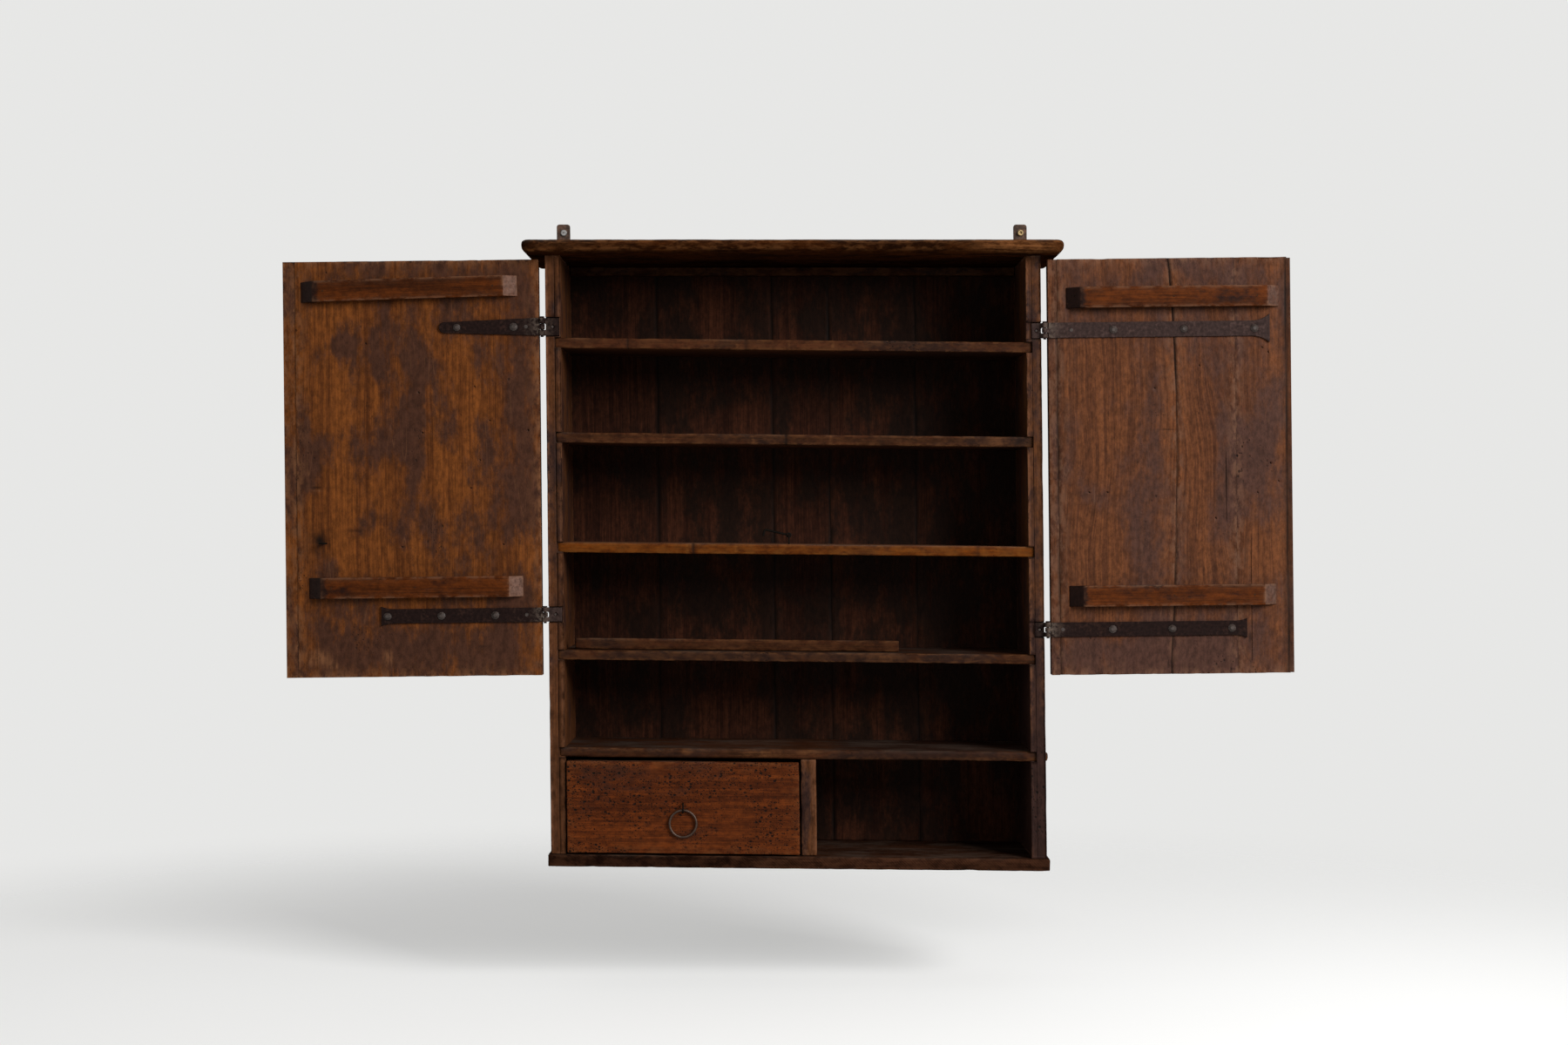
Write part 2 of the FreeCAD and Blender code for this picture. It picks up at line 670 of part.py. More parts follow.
def make_hinges():
    """Straps, leaves, pins and their nails, for both doors."""
    taper_end = door_start + TAPER_LONG
    left_end = door_start + LEFT_FLARE_LONG
    fishtail_end = door_start + right_width - FISHTAIL_SHORT
    right_end = door_start + right_width - RIGHT_FLARE_SHORT
    hinges = (
        ("left", "upper", LEFT, left_upper_hinge, TAPER_ROOT,
         tapered_outline(LEFT, left_upper_hinge, taper_end)),
        ("left", "lower", LEFT, left_lower_hinge, FLARE_WIDTH,
         flared_outline(LEFT, left_lower_hinge, left_end, FLARE_WIDTH, FLARE_END, FLARE_RUN)),
        ("right", "upper", RIGHT, right_upper_hinge, FISHTAIL_WIDTH,
         flared_outline(RIGHT, right_upper_hinge, fishtail_end, FISHTAIL_WIDTH, FISHTAIL_END, FISHTAIL_RUN)),
        ("right", "lower", RIGHT, right_lower_hinge, FLARE_WIDTH,
         flared_outline(RIGHT, right_lower_hinge, right_end, FLARE_WIDTH, FLARE_END, FLARE_RUN)),
    )
    leaf_nail = flush_nail(LEAF_THICK + NAIL_BITE)
    leaf_front = STRAP_THICK + STRAP_CLEAR
    leaf_reach = {
        "left": HINGE_OFFSET + SIDE_THICK - LEFT_LEAF_SHORT,
        "right": HINGE_OFFSET + SIDE_THICK - RIGHT_LEAF_SHORT,
    }
    leaf_nails = []
    pins = {"left": [], "right": []}
    for door, place, side, mid, width, outline in hinges:
        pieces[f"{door}_strap_{place}"] = strap(side, mid, width, outline)
        reach = leaf_reach[door]
        middle = Vector(-side * (HINGE_OFFSET + reach) / 2, leaf_front, mid)
        nails = drive(leaf_nail, [middle], Vector(0, 1, 0))
        leaf_name = f"{door}_hinge_leaf_{place}"
        pieces[leaf_name] = hang(leaf(side, mid, width, reach).cut(nails), side)
        leaf_nails += hang(nails, side).Solids
        pins[door].append(hang(pin(mid, width), side))
        seat(hang(notch(side, mid, width, reach), side), f"{door}_side")
    pieces["leaf_nails"] = Part.makeCompound(leaf_nails)
    seat(pieces["leaf_nails"], "left_side", "right_side")
    for door, group in pins.items():
        pieces[f"{door}_hinge_pins"] = Part.makeCompound(group)

    fishtail_last = right_width - FISHTAIL_SHORT - RIGHT_LAST_NAIL
    right_last = right_width - RIGHT_FLARE_SHORT - RIGHT_LAST_NAIL
    runs = (
        ("left", LEFT, left_upper_hinge, TAPER_FIRST_NAIL, TAPER_LONG - TAPER_LAST_NAIL, TAPER_NAIL_COUNT),
        ("left", LEFT, left_lower_hinge, LEFT_FLARE_FIRST_NAIL, LEFT_FLARE_LONG - LEFT_FLARE_LAST_NAIL,
         LONG_NAIL_COUNT),
        ("right", RIGHT, right_upper_hinge, FISHTAIL_FIRST_NAIL, fishtail_last, LONG_NAIL_COUNT),
        ("right", RIGHT, right_lower_hinge, RIGHT_FLARE_FIRST_NAIL, right_last, LONG_NAIL_COUNT),
    )
    for door in ("left", "right"):
        spots = []
        for name, side, mid, first, last, count in runs:
            if name == door:
                spots += [strap_point(side, door_start + u, mid) for u in spread(first, last, count)]
        pieces[f"{door}_strap_nails"] = drive(rose_nail(STRAP_THICK + DOOR_BITE), spots, Vector(0, 1, 0))


# Doors

def make_door_boards():
    """Door boards: the left door's tongue closes behind the right door's lip."""
    rebate_depth = DOOR_THICK / 2
    head = (door_foot, door_head)
    seam = DOOR_SEAM / 2
    left_end = door_start + left_width
    right_end = door_start + right_width
    strip_start = left_end - LEFT_STRIP
    full = (0, DOOR_THICK)
    pieces["left_door_board"] = slab(LEFT, (door_start, strip_start - seam), full, head)
    outer_half = (rebate_depth - REBATE_CLEAR / 2, DOOR_THICK)
    tongue_room = slab(LEFT, (left_end - REBATE_WIDE, left_end), outer_half, head)
    pieces["left_door_strip"] = slab(LEFT, (strip_start + seam, left_end), full, head).cut(tongue_room)

    edges = [door_start, door_start + RIGHT_STRIP]
    edges.append(edges[-1] + RIGHT_BOARD_1)
    edges.append(edges[-1] + RIGHT_BOARD_2)
    edges.append(right_end)
    names = ("right_door_strip", "right_door_board_1", "right_door_board_2", "right_door_board_3")
    for name, near, far in zip(names, edges, edges[1:]):
        near_seam = 0 if near == door_start else seam
        far_seam = 0 if far == right_end else seam
        pieces[name] = slab(RIGHT, (near + near_seam, far - far_seam), full, head)
    inner_half = (0, rebate_depth + REBATE_CLEAR / 2)
    seat(slab(RIGHT, (right_end - REBATE_WIDE, right_end), inner_half, head), "right_door_board_3")


def make_battens():
    """Ledges nailed across the doors, bevelled at both ends."""
    left_end = door_start + left_width
    right_end = door_start + right_width
    left_upper = left_upper_hinge + TAPER_ROOT / 2 + LEFT_UPPER_BATTEN
    left_lower = left_lower_hinge + FLARE_END / 2 + LEFT_LOWER_BATTEN
    right_upper = right_upper_hinge + FISHTAIL_END / 2 + RIGHT_UPPER_BATTEN
    right_lower = right_lower_hinge + FLARE_END / 2 + RIGHT_LOWER_BATTEN
    battens = (
        ("left", "upper", LEFT, left_upper, LEFT_UPPER_INSET, left_end - LEFT_UPPER_SHORT),
        ("left", "lower", LEFT, left_lower, LEFT_LOWER_INSET, left_end - LEFT_LOWER_SHORT),
        ("right", "upper", RIGHT, right_upper, RIGHT_UPPER_INSET, right_end - RIGHT_UPPER_SHORT),
        ("right", "lower", RIGHT, right_lower, RIGHT_LOWER_INSET, right_end - RIGHT_LOWER_SHORT),
    )
    nail = flush_nail(BATTEN_PROUD + DOOR_BITE)
    groups = {"left": [], "right": []}
    for door, place, side, foot, inset, far in battens:
        mid = foot + BATTEN_TALL / 2
        near = door_start + inset
        profile = [(near, 0), (far, 0)]
        profile += [(far - BATTEN_BEVEL, -BATTEN_PROUD), (near + BATTEN_BEVEL, -BATTEN_PROUD)]
        corners = [Vector(side * u, v, foot) for u, v in profile]
        face = Part.Face(Part.makePolygon(corners + corners[:1]))
        ledge = face.extrude(Vector(0, 0, BATTEN_TALL))
        inset_nail = BATTEN_BEVEL + BATTEN_NAIL_INSET
        places = spread(near + inset_nail, far - inset_nail, BATTEN_NAIL_COUNT)
        spots = [Vector(side * u, -BATTEN_PROUD, mid) for u in places]
        nails = drive(nail, spots, Vector(0, 1, 0))
        if (door, place) == ("left", "upper"):
            centre = Vector(side * (near + far) / 2, 0, mid)
            for shape in (ledge, nails):
                shape.rotate(centre, Vector(0, 1, 0), -LEFT_UPPER_TILT)
        pieces[f"{door}_batten_{place}"] = ledge.cut(nails)
        groups[door] += nails.Solids
    for door, nails in groups.items():
        pieces[f"{door}_batten_nails"] = Part.makeCompound(nails)


def make_catch():
    """Hook on a staple in shelf 3, and the eye on the left door that it drops into."""
    depth = case_front + CATCH_SETBACK
    reach = depth - axis_depth
    shelf = shelf_top["shelf_3"]
    eye_across = -half_width + EYE_FROM_EDGE
    eye_x, eye_z = racked(eye_across, shelf)
    eye_z = eye_z + EYE_HEIGHT
    tilt = math.radians(LEAN_ANGLE)
    from_axis = eye_x + axis_out
    u = from_axis * math.cos(tilt) + eye_z * math.sin(tilt)
    w = eye_z * math.cos(tilt) - from_axis * math.sin(tilt)
    ring = wire_ring(EYE_RADIUS, EYE_WIRE, Vector(-u, -reach, w), Vector(0, 0, 1))
    shank = taper(WIRE_SIDES, EYE_WIRE, EYE_WIRE, EYE_RADIUS - reach, EYE_BITE)
    shank = placed(shank, Vector(-u, 0, w), FreeCAD.Rotation(Vector(0, 0, 1), Vector(0, 1, 0)))
    pieces["catch_eye"] = ring.fuse(shank)
    seat(pieces["catch_eye"], "left_door_board")

    pivot_x, pivot_z = racked(eye_across + HOOK_REACH, shelf)
    foot = Vector(pivot_x, depth, pivot_z)
    quarter = FreeCAD.Rotation(Vector(0, 0, 1), 90)
    pieces["catch_staple"] = placed(staple(STAPLE_SPAN, PIVOT_HEIGHT, STAPLE_BITE), foot, quarter)
    seat(pieces["catch_staple"], "shelf_3")

    arm_start = Vector(-STAPLE_WIRE - HOOK_WIRE, 0, 0)
    bend = Vector(-HOOK_REACH, 0, 0)
    arm = rod([arm_start, bend, bend - Vector(0, 0, HOOK_DROP)], STAPLE_BEND, HOOK_WIRE)
    start = Vector(0, -HOOK_ROLL_LONG / 2, 0)
    loop = Part.makeCylinder(HOOK_ROLL, HOOK_ROLL_LONG, start, Vector(0, 1, 0))
    hole = Part.makeCylinder(STAPLE_WIRE + PIN_CLEAR, HOOK_ROLL_LONG, start, Vector(0, 1, 0))
    raised = FreeCAD.Rotation(Vector(0, 1, 0), HOOK_RAISED)
    pivot = foot + Vector(0, 0, PIVOT_HEIGHT)
    pieces["catch_hook"] = placed(arm.fuse(loop).cut(hole), pivot, raised)


def make_doors():
    """Both doors with their ledges, straps, nails and catch, hung on their hinge lines."""
    make_door_boards()
    make_battens()
    make_catch()
    right_boards = [f"right_door_board_{k}" for k in (1, 2, 3)]
    seat(pieces["left_strap_nails"], "left_strap_upper", "left_strap_lower", "left_door_board")
    seat(pieces["left_batten_nails"], "left_door_board")
    seat(pieces["right_strap_nails"], "right_strap_upper", "right_strap_lower", *right_boards)
    seat(pieces["right_batten_nails"], *right_boards)
    shared = ["batten_upper", "batten_lower", "batten_nails", "door_strip"]
    shared += ["strap_upper", "strap_lower", "strap_nails"]
    hang_all([f"left_{name}" for name in shared] + ["left_door_board", "catch_eye"], LEFT)
    hang_all([f"right_{name}" for name in shared] + right_boards, RIGHT)


# Drawer and ring pull

def make_drawer():
    """Nailed drawer box with its front let over the sides, and the ring on its staple."""
    left = -inner + DRAWER_SIDE_GAP
    right = -inner + DRAWER_OPENING - DRAWER_SIDE_GAP
    face = case_front - FRONT_PROUD
    front_rear = face + FRONT_THICK
    rear = back_front - DRAWER_REAR_GAP
    foot = floor + DRAWER_RUN
    bed = foot + DRAWER_FLOOR
    front_foot = floor + FRONT_FOOT_GAP
    front_head = shelf_under["drawer_shelf"] - FRONT_HEAD_GAP
    side_head = front_head - DRAWER_SIDE_LOW
    outer_left = left + DRAWER_INSET
    outer_right = right - DRAWER_INSET
    inner_left = outer_left + DRAWER_BOARD
    inner_right = outer_right - DRAWER_BOARD
    side_front = front_rear - FRONT_REBATE
    pieces["drawer_left_side"] = falling_board(outer_left, inner_left, bed, side_head, side_front, rear)
    pieces["drawer_right_side"] = falling_board(inner_right, outer_right, bed, side_head, side_front, rear)
    pieces["drawer_back"] = falling_board(
        inner_left, inner_right, bed, side_head - DRAWER_BACK_LOW, rear - DRAWER_BOARD, rear
    )
    pieces["drawer_bottom"] = falling_board(outer_left, outer_right, foot, bed, front_rear, rear)
    pieces["drawer_front"] = falling_board(left, right, front_foot, front_head, face, front_rear)
    sides = ("drawer_left_side", "drawer_right_side")
    seat(Part.makeCompound([pieces[name] for name in sides]), "drawer_front")

    nails = []
    for outer, into in ((outer_left, Vector(1, 0, 0)), (outer_right, Vector(-1, 0, 0))):
        spots = []
        for y in (side_front + FRONT_REBATE / 2, rear - DRAWER_BOARD / 2):
            for level in (bed + DRAWER_NAIL_INSET, side_head - DRAWER_NAIL_INSET):
                x, z = racked(outer, level)
                spots.append(Vector(x, y, z))
        nails += drive(flush_nail(DRAWER_BOARD + NAIL_BITE), spots, into).Solids
    pieces["drawer_nails"] = Part.makeCompound(nails)
    seat(pieces["drawer_nails"], "drawer_front", "drawer_back", *sides)
    make_ring((left + right) / 2, (front_foot + front_head) / 2, face)


def make_ring(across, level, face):
    """Ring that hangs in a staple standing upright on the drawer front."""
    x, z = racked(across, level)
    ring_depth = RING_CLEAR + RING_WIRE
    rise = ring_depth + RING_WIRE + RING_SLACK + STAPLE_WIRE
    to_front = FreeCAD.Rotation(Vector(1, 0, 0), 90).multiply(FreeCAD.Rotation(Vector(0, 0, 1), 90))
    loop = staple(RING_STAPLE_SPAN, rise, RING_STAPLE_BITE)
    pieces["ring_staple"] = placed(loop, Vector(x, face, z), to_front)
    seat(pieces["ring_staple"], "drawer_front")
    lower_leg = z - RING_STAPLE_SPAN / 2
    ring_top = lower_leg + STAPLE_WIRE + RING_SLACK + RING_WIRE
    centre = Vector(x, face - ring_depth, ring_top - RING_RADIUS)
    pieces["ring_pull"] = wire_ring(RING_RADIUS, RING_WIRE, centre, Vector(0, 1, 0))


make_top()
make_bottom()
make_shelves()
make_sides()
make_back()
make_hangers()
make_case_nails()
make_hinges()
make_doors()
make_drawer()

os.makedirs("parts", exist_ok=True)
for piece_name, piece in pieces.items():
    piece.exportStep(os.path.join("parts", piece_name + ".step"))
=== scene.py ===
import itertools
import json
import math

import bmesh
import bpy
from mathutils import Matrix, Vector, noise


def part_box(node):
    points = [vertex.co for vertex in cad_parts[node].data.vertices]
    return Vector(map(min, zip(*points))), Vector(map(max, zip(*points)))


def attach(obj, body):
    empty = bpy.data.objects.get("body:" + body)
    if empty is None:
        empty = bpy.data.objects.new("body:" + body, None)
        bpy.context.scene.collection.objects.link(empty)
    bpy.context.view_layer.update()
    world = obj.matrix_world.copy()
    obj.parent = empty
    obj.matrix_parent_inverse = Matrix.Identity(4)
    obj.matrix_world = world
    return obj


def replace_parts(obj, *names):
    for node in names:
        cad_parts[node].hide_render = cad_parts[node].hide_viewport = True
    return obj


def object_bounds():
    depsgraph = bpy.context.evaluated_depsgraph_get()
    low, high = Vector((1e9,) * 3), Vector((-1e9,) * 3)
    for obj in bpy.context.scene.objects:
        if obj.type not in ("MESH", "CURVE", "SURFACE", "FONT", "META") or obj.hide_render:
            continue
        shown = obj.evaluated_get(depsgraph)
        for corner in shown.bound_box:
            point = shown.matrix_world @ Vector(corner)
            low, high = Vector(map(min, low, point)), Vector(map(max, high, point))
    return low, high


# An old plank wall cabinet, hung open: worn boards, forged straps and a ring-pulled drawer.
# Metres, +Z up, front towards -Y, wall on the plane y = 0. MM turns real sizes into metres.

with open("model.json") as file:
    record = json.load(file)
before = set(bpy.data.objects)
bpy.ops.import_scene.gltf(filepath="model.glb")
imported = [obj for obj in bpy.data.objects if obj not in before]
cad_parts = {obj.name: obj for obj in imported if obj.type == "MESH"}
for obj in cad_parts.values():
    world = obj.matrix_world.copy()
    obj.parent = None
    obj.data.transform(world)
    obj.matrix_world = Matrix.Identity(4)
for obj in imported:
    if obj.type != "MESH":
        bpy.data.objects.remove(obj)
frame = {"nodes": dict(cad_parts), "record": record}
cad_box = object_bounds()
MM = 0.001
record = frame["record"]
body_of = {node: body for body, nodes in record["behaviour"]["bodies"].items() for node in nodes}
seed_of = {node: k for k, node in enumerate(frame["nodes"], 1)}

# Camera
CAMERA_PLACE = Vector((-10.8, -3588.0, -404.0)) * MM
CAMERA_LENS = 59.0
SENSOR_WIDTH = 36.0

# Studio
FLOOR_BELOW = 160.0 * MM        # under the cabinet's foot
FLOOR_SOLID = 0.7               # radius of the floor that shows fully, and where it has faded away
FLOOR_GONE = 1.9
FLOOR_GLOW = 0.42               # seen by the camera only, to keep the floor pale
KEY_FROM = Vector((0.625, -0.694, 0.358))
KEY_POWER = 165.0
FILL_FROM = Vector((-0.7, -0.7, 0.25))
FILL_POWER = 8.0
LAMP_DISTANCE = 4.0
LAMP_SIZE = 1.7
SKY_LIGHT = 0.26
BACKGROUND = (0.80, 0.80, 0.79, 1.0)

# How boards wear
BOARD_CELL = 7.0 * MM
SHAPED_CELL = 2.5 * MM          # of boards that aren't plain blocks
EDGE_LINE = 4.0 * MM            # first grid line in from an edge
LINE_APART = 0.8 * MM           # even grid lines keep this clear of those set for a mark
EDGE_ROUND = 1.5 * MM
SHARP_ANGLE = 0.5
WEAR_REACH = 7.0 * MM           # how far wear spreads in from an edge
CHIP_DEEP = 3.2 * MM
CHIP_RATE = 38.0                # chips per metre of edge, about
CHIP_START = 0.12
RIPPLE_DEEP = 0.5 * MM
RIPPLE_RATE = 22.0
FACE_SKIN = 0.2 * MM            # what lies within this of a board's front is its face
SEAM_BAND = 1.6 * MM            # how far in from a seam the dirt and painted shade lie thick
SEAM_RATE = 18.0
LONG_STAIN = 40.0               # stains as long as this, in mm, need no closer grid along them
STAIN_STEPS = (-2, -1, 0, 1, 2)  # grid lines through a stain, in quarters of its width
STAIN_DEEP = 12.0 * MM
DOOR_SEAM = 0.5 * MM            # boards have swollen shut over these seams
BACK_SEAM = 0.8 * MM
BOARD_SHIFT = Vector((0.731, 0.377, 0.193))  # from one board's grain to the next one's
WELD_WITHIN = 0.001 * MM        # corners of triangles this close together are one

# The wood's figure, in rates along the grain and across it
WANDER_RATE = (2.4, 7.0)
FIBRE_RATE = (30.0, 850.0)
LINE_RATE = (5.0, 330.0)
STREAK_RATE = (4.0, 120.0)
BAND_RATE = (1.4, 22.0)
PATCH_RATE = (11.0, 22.0)
SOIL_RATE = (90.0, 150.0)
NICK_RATE = (55.0, 110.0)
SCRATCH_RATE = (2.2, 34.0)
CLUSTER_RATE = (14.0, 22.0)
WORM_RATES = ((150.0, 210.0), (290.0, 370.0), (520.0, 640.0))
VERY_WORMY = 0.2                # boards more eaten than this have the finest holes too
SAW_RATE = 170.0
DUST = (0.12, 0.09, 0.07, 1.0)
# near black of the marks: dirt, and painted shade inside holes, splits and seam cracks
DIRT_AND_SHADE = (0.005, 0.003, 0.002, 1.0)

# Iron
STRAP_CELL = 0.8 * MM
PLATE_CELL = 0.7 * MM
WIRE_CELL = 0.4 * MM
HAMMER_DEEP = 0.35 * MM
PLATE_HAMMER = 0.25 * MM
LIGHT_HAMMER = 0.15 * MM
HAMMER_RATE = 140.0
RUST_RATE = 70.0
PIT_RATE = 230.0
RUB_REACH = 7.0 * MM            # how far along a strap its hinge end is rubbed bare
NAIL_WIDE = 4.4 * MM            # radius of a rose head at the strap's face
# how fast the dark ring of soot and painted shade about each strap nail fades
SHADE_AND_SOOT_REACH = 1.3 * MM
RUBBED = (0.12, 0.09, 0.07, 1.0)
# colour of that ring: soot and painted shade
SHADE_AND_SOOT = (0.003, 0.002, 0.002, 1.0)


# Node helpers: a socket knows its tree, so only what starts a chain of nodes is given one

def fill(node, sockets):
    """Link or set a node's sockets."""
    for key, value in sockets.items():
        socket = node.inputs[key]
        if isinstance(value, bpy.types.NodeSocket):
            socket.id_data.links.new(value, socket)
        else:
            socket.default_value = value


def add(tree, kind, sockets=(), **settings):
    """Add a node with its settings and sockets."""
    node = tree.nodes.new(kind)
    for key, value in settings.items():
        setattr(node, key, value)
    fill(node, dict(sockets))
    return node


def made(tree, kind, sockets=(), **settings):
    """What a new node gives first."""
    return add(tree, kind, sockets, **settings).outputs[0]


def reckon(operation, first, second):
    """One sum of two values."""
    return made(first.id_data, "ShaderNodeMath", {0: first, 1: second}, operation=operation)


def times(first, second):
    """Product of two values."""
    return reckon("MULTIPLY", first, second)


def larger(first, second):
    """The larger of two values."""
    return reckon("MAXIMUM", first, second)


def between(value, low, high, start=0.0, end=1.0):
    """Soft step of a value from low to high."""
    sockets = {"Value": value, "From Min": low, "From Max": high, "To Min": start, "To Max": end}
    return made(value.id_data, "ShaderNodeMapRange", sockets, interpolation_type="SMOOTHSTEP")


def mixed(share, first, second):
    """Two colours mixed by a share."""
    return add(share.id_data, "ShaderNodeMix", {0: share, 6: first, 7: second}, data_type="RGBA").outputs[2]


def shaded(skin, amount):
    """Colour made darker or lighter by an amount."""
    sockets = {0: 1.0, 6: skin, 7: amount}
    return add(skin.id_data, "ShaderNodeMix", sockets, data_type="RGBA", blend_type="MULTIPLY").outputs[2]


def summed(*weighted):
    """Sum of values, each with its weight."""
    total = None
    for value, weight in weighted:
        part = times(value, weight)
        total = part if total is None else reckon("ADD", total, part)
    return total


def colour(red, green, blue):
    """Opaque linear colour."""
    return (red, green, blue, 1.0)


def attribute(tree, name, output="Fac"):
    """Value that the board's mesh carries."""
    return add(tree, "ShaderNodeAttribute", attribute_name=name).outputs[output]


def stretched(place, along, across):
    """Place scaled differently along the grain and across it."""
    return made(place.id_data, "ShaderNodeMapping", {"Vector": place, "Scale": (along, across, across)})


def cloud(place, detail=3.0, rough=0.55, scale=1.0):
    """Soft noise at a place."""
    sockets = {"Vector": place, "Scale": scale, "Detail": detail, "Roughness": rough}
    return made(place.id_data, "ShaderNodeTexNoise", sockets)


def bumped(height, strength, distance):
    """Way that a surface faces where its height varies."""
    sockets = {"Strength": strength, "Distance": distance, "Height": height}
    return made(height.id_data, "ShaderNodeBump", sockets)


def new_material(name):
    """Material with its tree and its surface node."""
    material = bpy.data.materials.new(name)
    material.use_nodes = True
    return material, material.node_tree, material.node_tree.nodes["Principled BSDF"]


# Finishes

def aged_wood(
    name, bare, deep, glaze, worn, ends=None, glazed=0.0, wormy=0.0, handled=0.0, dull=0.0, gloss=0.06,
    sway=8 * MM, crisp=0.18, sawn=0.0, dusty=0.30,
):
    """Old board: bare wood streaked along the grain, under patches of dark glaze, paler on worn edges.

    handled widens the worn edges, sway is how far the figure wanders, crisp how sharply the glaze ends,
    sawn how strongly slanting saw marks show and dusty how thick dust lies on top."""
    material, tree, surface = new_material(name)
    grain = attribute(tree, "grain", "Vector")
    thick = attribute(tree, "glaze")
    wear = attribute(tree, "wear")
    grime_and_shade = attribute(tree, "grime_and_shade")
    wander = reckon("SUBTRACT", cloud(stretched(grain, *WANDER_RATE), 2.0), 0.5)
    wander = made(tree, "ShaderNodeCombineXYZ", {"Y": times(wander, 2 * sway)})
    figure = made(tree, "ShaderNodeVectorMath", {0: grain, 1: wander}, operation="ADD")
    fibres = cloud(stretched(figure, *FIBRE_RATE), 3.0, 0.65)
    lines = cloud(stretched(figure, *LINE_RATE), 3.0, 0.6)
    streaks = cloud(stretched(figure, *STREAK_RATE), 6.0, 0.66)
    bands = cloud(stretched(figure, *BAND_RATE), 3.0)
    patches = cloud(stretched(grain, *PATCH_RATE), 8.0, 0.70)
    soil = cloud(stretched(grain, *SOIL_RATE), 5.0, 0.75)
    nicks = cloud(stretched(grain, *NICK_RATE), 4.0, 0.7)

    tone = summed((streaks, 0.28), (fibres, 0.22), (lines, 0.28), (bands, 0.22))
    wood = mixed(between(tone, 0.41, 0.59), colour(*deep), colour(*bare))
    cut = times(attribute(tree, "end_grain"), between(nicks, 0.30, 0.58, 0.5, 0.9))
    wood = mixed(cut, wood, colour(*(ends or [0.5 * part for part in glaze])))

    cover = summed((patches, 1.0), (thick, 1.0), (streaks, 0.25), (lines, 0.15))
    middle = 0.76 - glazed
    cover = between(cover, middle - crisp / 2, middle + crisp / 2, 0.0, 0.95)
    wood = mixed(cover, wood, colour(*glaze))
    wood = shaded(wood, between(soil, 0.32, 0.68, 0.66, 1.30))
    if sawn:
        sockets = {"Vector": grain, "Scale": SAW_RATE, "Distortion": 4.0, "Detail": 2.0, "Detail Scale": 0.6}
        kerfs = add(tree, "ShaderNodeTexWave", sockets, bands_direction="DIAGONAL").outputs["Fac"]
        wood = shaded(wood, between(kerfs, 0.2, 0.8, 1.0 - sawn, 1.0 + sawn))

    drift = reckon("SUBTRACT", cloud(stretched(grain, *SCRATCH_RATE), 2.0), 0.5)
    scratch = between(reckon("ABSOLUTE", drift, 0.0), 0.006, 0.0)
    scratch = times(scratch, between(patches, 0.50, 0.62, 0.0, 0.4))
    bare_edge = times(wear, between(thick, 0.1, 0.5, 1.0, 0.0))
    edge = times(bare_edge, between(nicks, 0.42 - handled, 0.62 - handled, 0.0, 0.95))
    ragged = between(summed((soil, 0.5), (lines, 0.5)), 0.40, 0.60, 0.15, 1.0)
    scuff = times(between(grime_and_shade, 0.0, -1.0), ragged)
    wood = mixed(larger(larger(edge, scratch), scuff), wood, colour(*worn))
    dust = times(attribute(tree, "dust"), between(patches, 0.42, 0.66, dusty - 0.30, dusty))
    wood = mixed(dust, wood, DUST)

    dents = times(wear, between(nicks, 0.40, 0.28, 0.0, 0.8))
    # holes, dents and grime go near black: dirt, with painted shade inside worm holes, nail holes, splits and
    # seam cracks
    marks = larger(larger(worm_holes(grain, thick, wormy), dents), grime_and_shade)
    relief = summed((streaks, 0.4), (lines, 0.35), (fibres, 0.25), (soil, 0.4), (marks, -1.2))
    fill(surface, {
        "Base Color": mixed(marks, wood, DIRT_AND_SHADE), "Specular IOR Level": gloss,
        "Roughness": between(reckon("ADD", cover, streaks), 0.2, 1.5, 0.66 + dull, 0.50 + dull),
        "Normal": bumped(relief, 0.6, 0.8 * MM),
    })
    return material


def worm_holes(grain, thick, wormy):
    """Small round holes in clusters, painted dark as dirt and as the shade inside them, more where glaze is
    thick: wormy is the share of the board they take.
    """
    tree = grain.id_data
    clusters = summed((cloud(stretched(grain, *CLUSTER_RATE), 3.0), 1.0), (thick, 0.4))
    chosen = between(reckon("ADD", clusters, wormy), 0.60, 0.80)
    holes = None
    for rates in WORM_RATES if wormy > VERY_WORMY else WORM_RATES[:2]:
        cells = add(tree, "ShaderNodeTexVoronoi", {"Vector": stretched(grain, *rates), "Scale": 1.0})
        lucky = made(tree, "ShaderNodeSeparateColor", {"Color": cells.outputs["Color"]})
        taken = times(chosen, reckon("LESS_THAN", lucky, 0.22 + wormy))
        dots = times(between(cells.outputs["Distance"], 0.38, 0.18), taken)
        holes = dots if holes is None else larger(holes, dots)
    return holes


def left_door_wood():
    """Honey wood that shows through a patchy purple-brown glaze."""
    return aged_wood(
        "honey_door_wood", bare=(0.175, 0.052, 0.010), deep=(0.070, 0.020, 0.005),
        glaze=(0.048, 0.019, 0.011), worn=(0.17, 0.070, 0.030), glazed=0.04, wormy=0.03,
    )


def right_door_wood():
    """Duller brown with a purple bloom and a wandering figure."""
    return aged_wood(
        "brown_door_wood", bare=(0.135, 0.045, 0.016), deep=(0.058, 0.020, 0.009),
        glaze=(0.054, 0.024, 0.017), worn=(0.15, 0.070, 0.040), wormy=0.03, dull=0.04, sway=30 * MM,
        crisp=0.26,
    )


def batten_wood(name, bevel):
    """Waxed red-brown, with paler sawn bevels."""
    return aged_wood(
        name, bare=(0.088, 0.020, 0.0025), deep=(0.030, 0.007, 0.001), glaze=(0.009, 0.003, 0.002),
        worn=(0.16, 0.075, 0.040), ends=bevel, glazed=-0.06, wormy=-0.12, handled=0.02,
    )


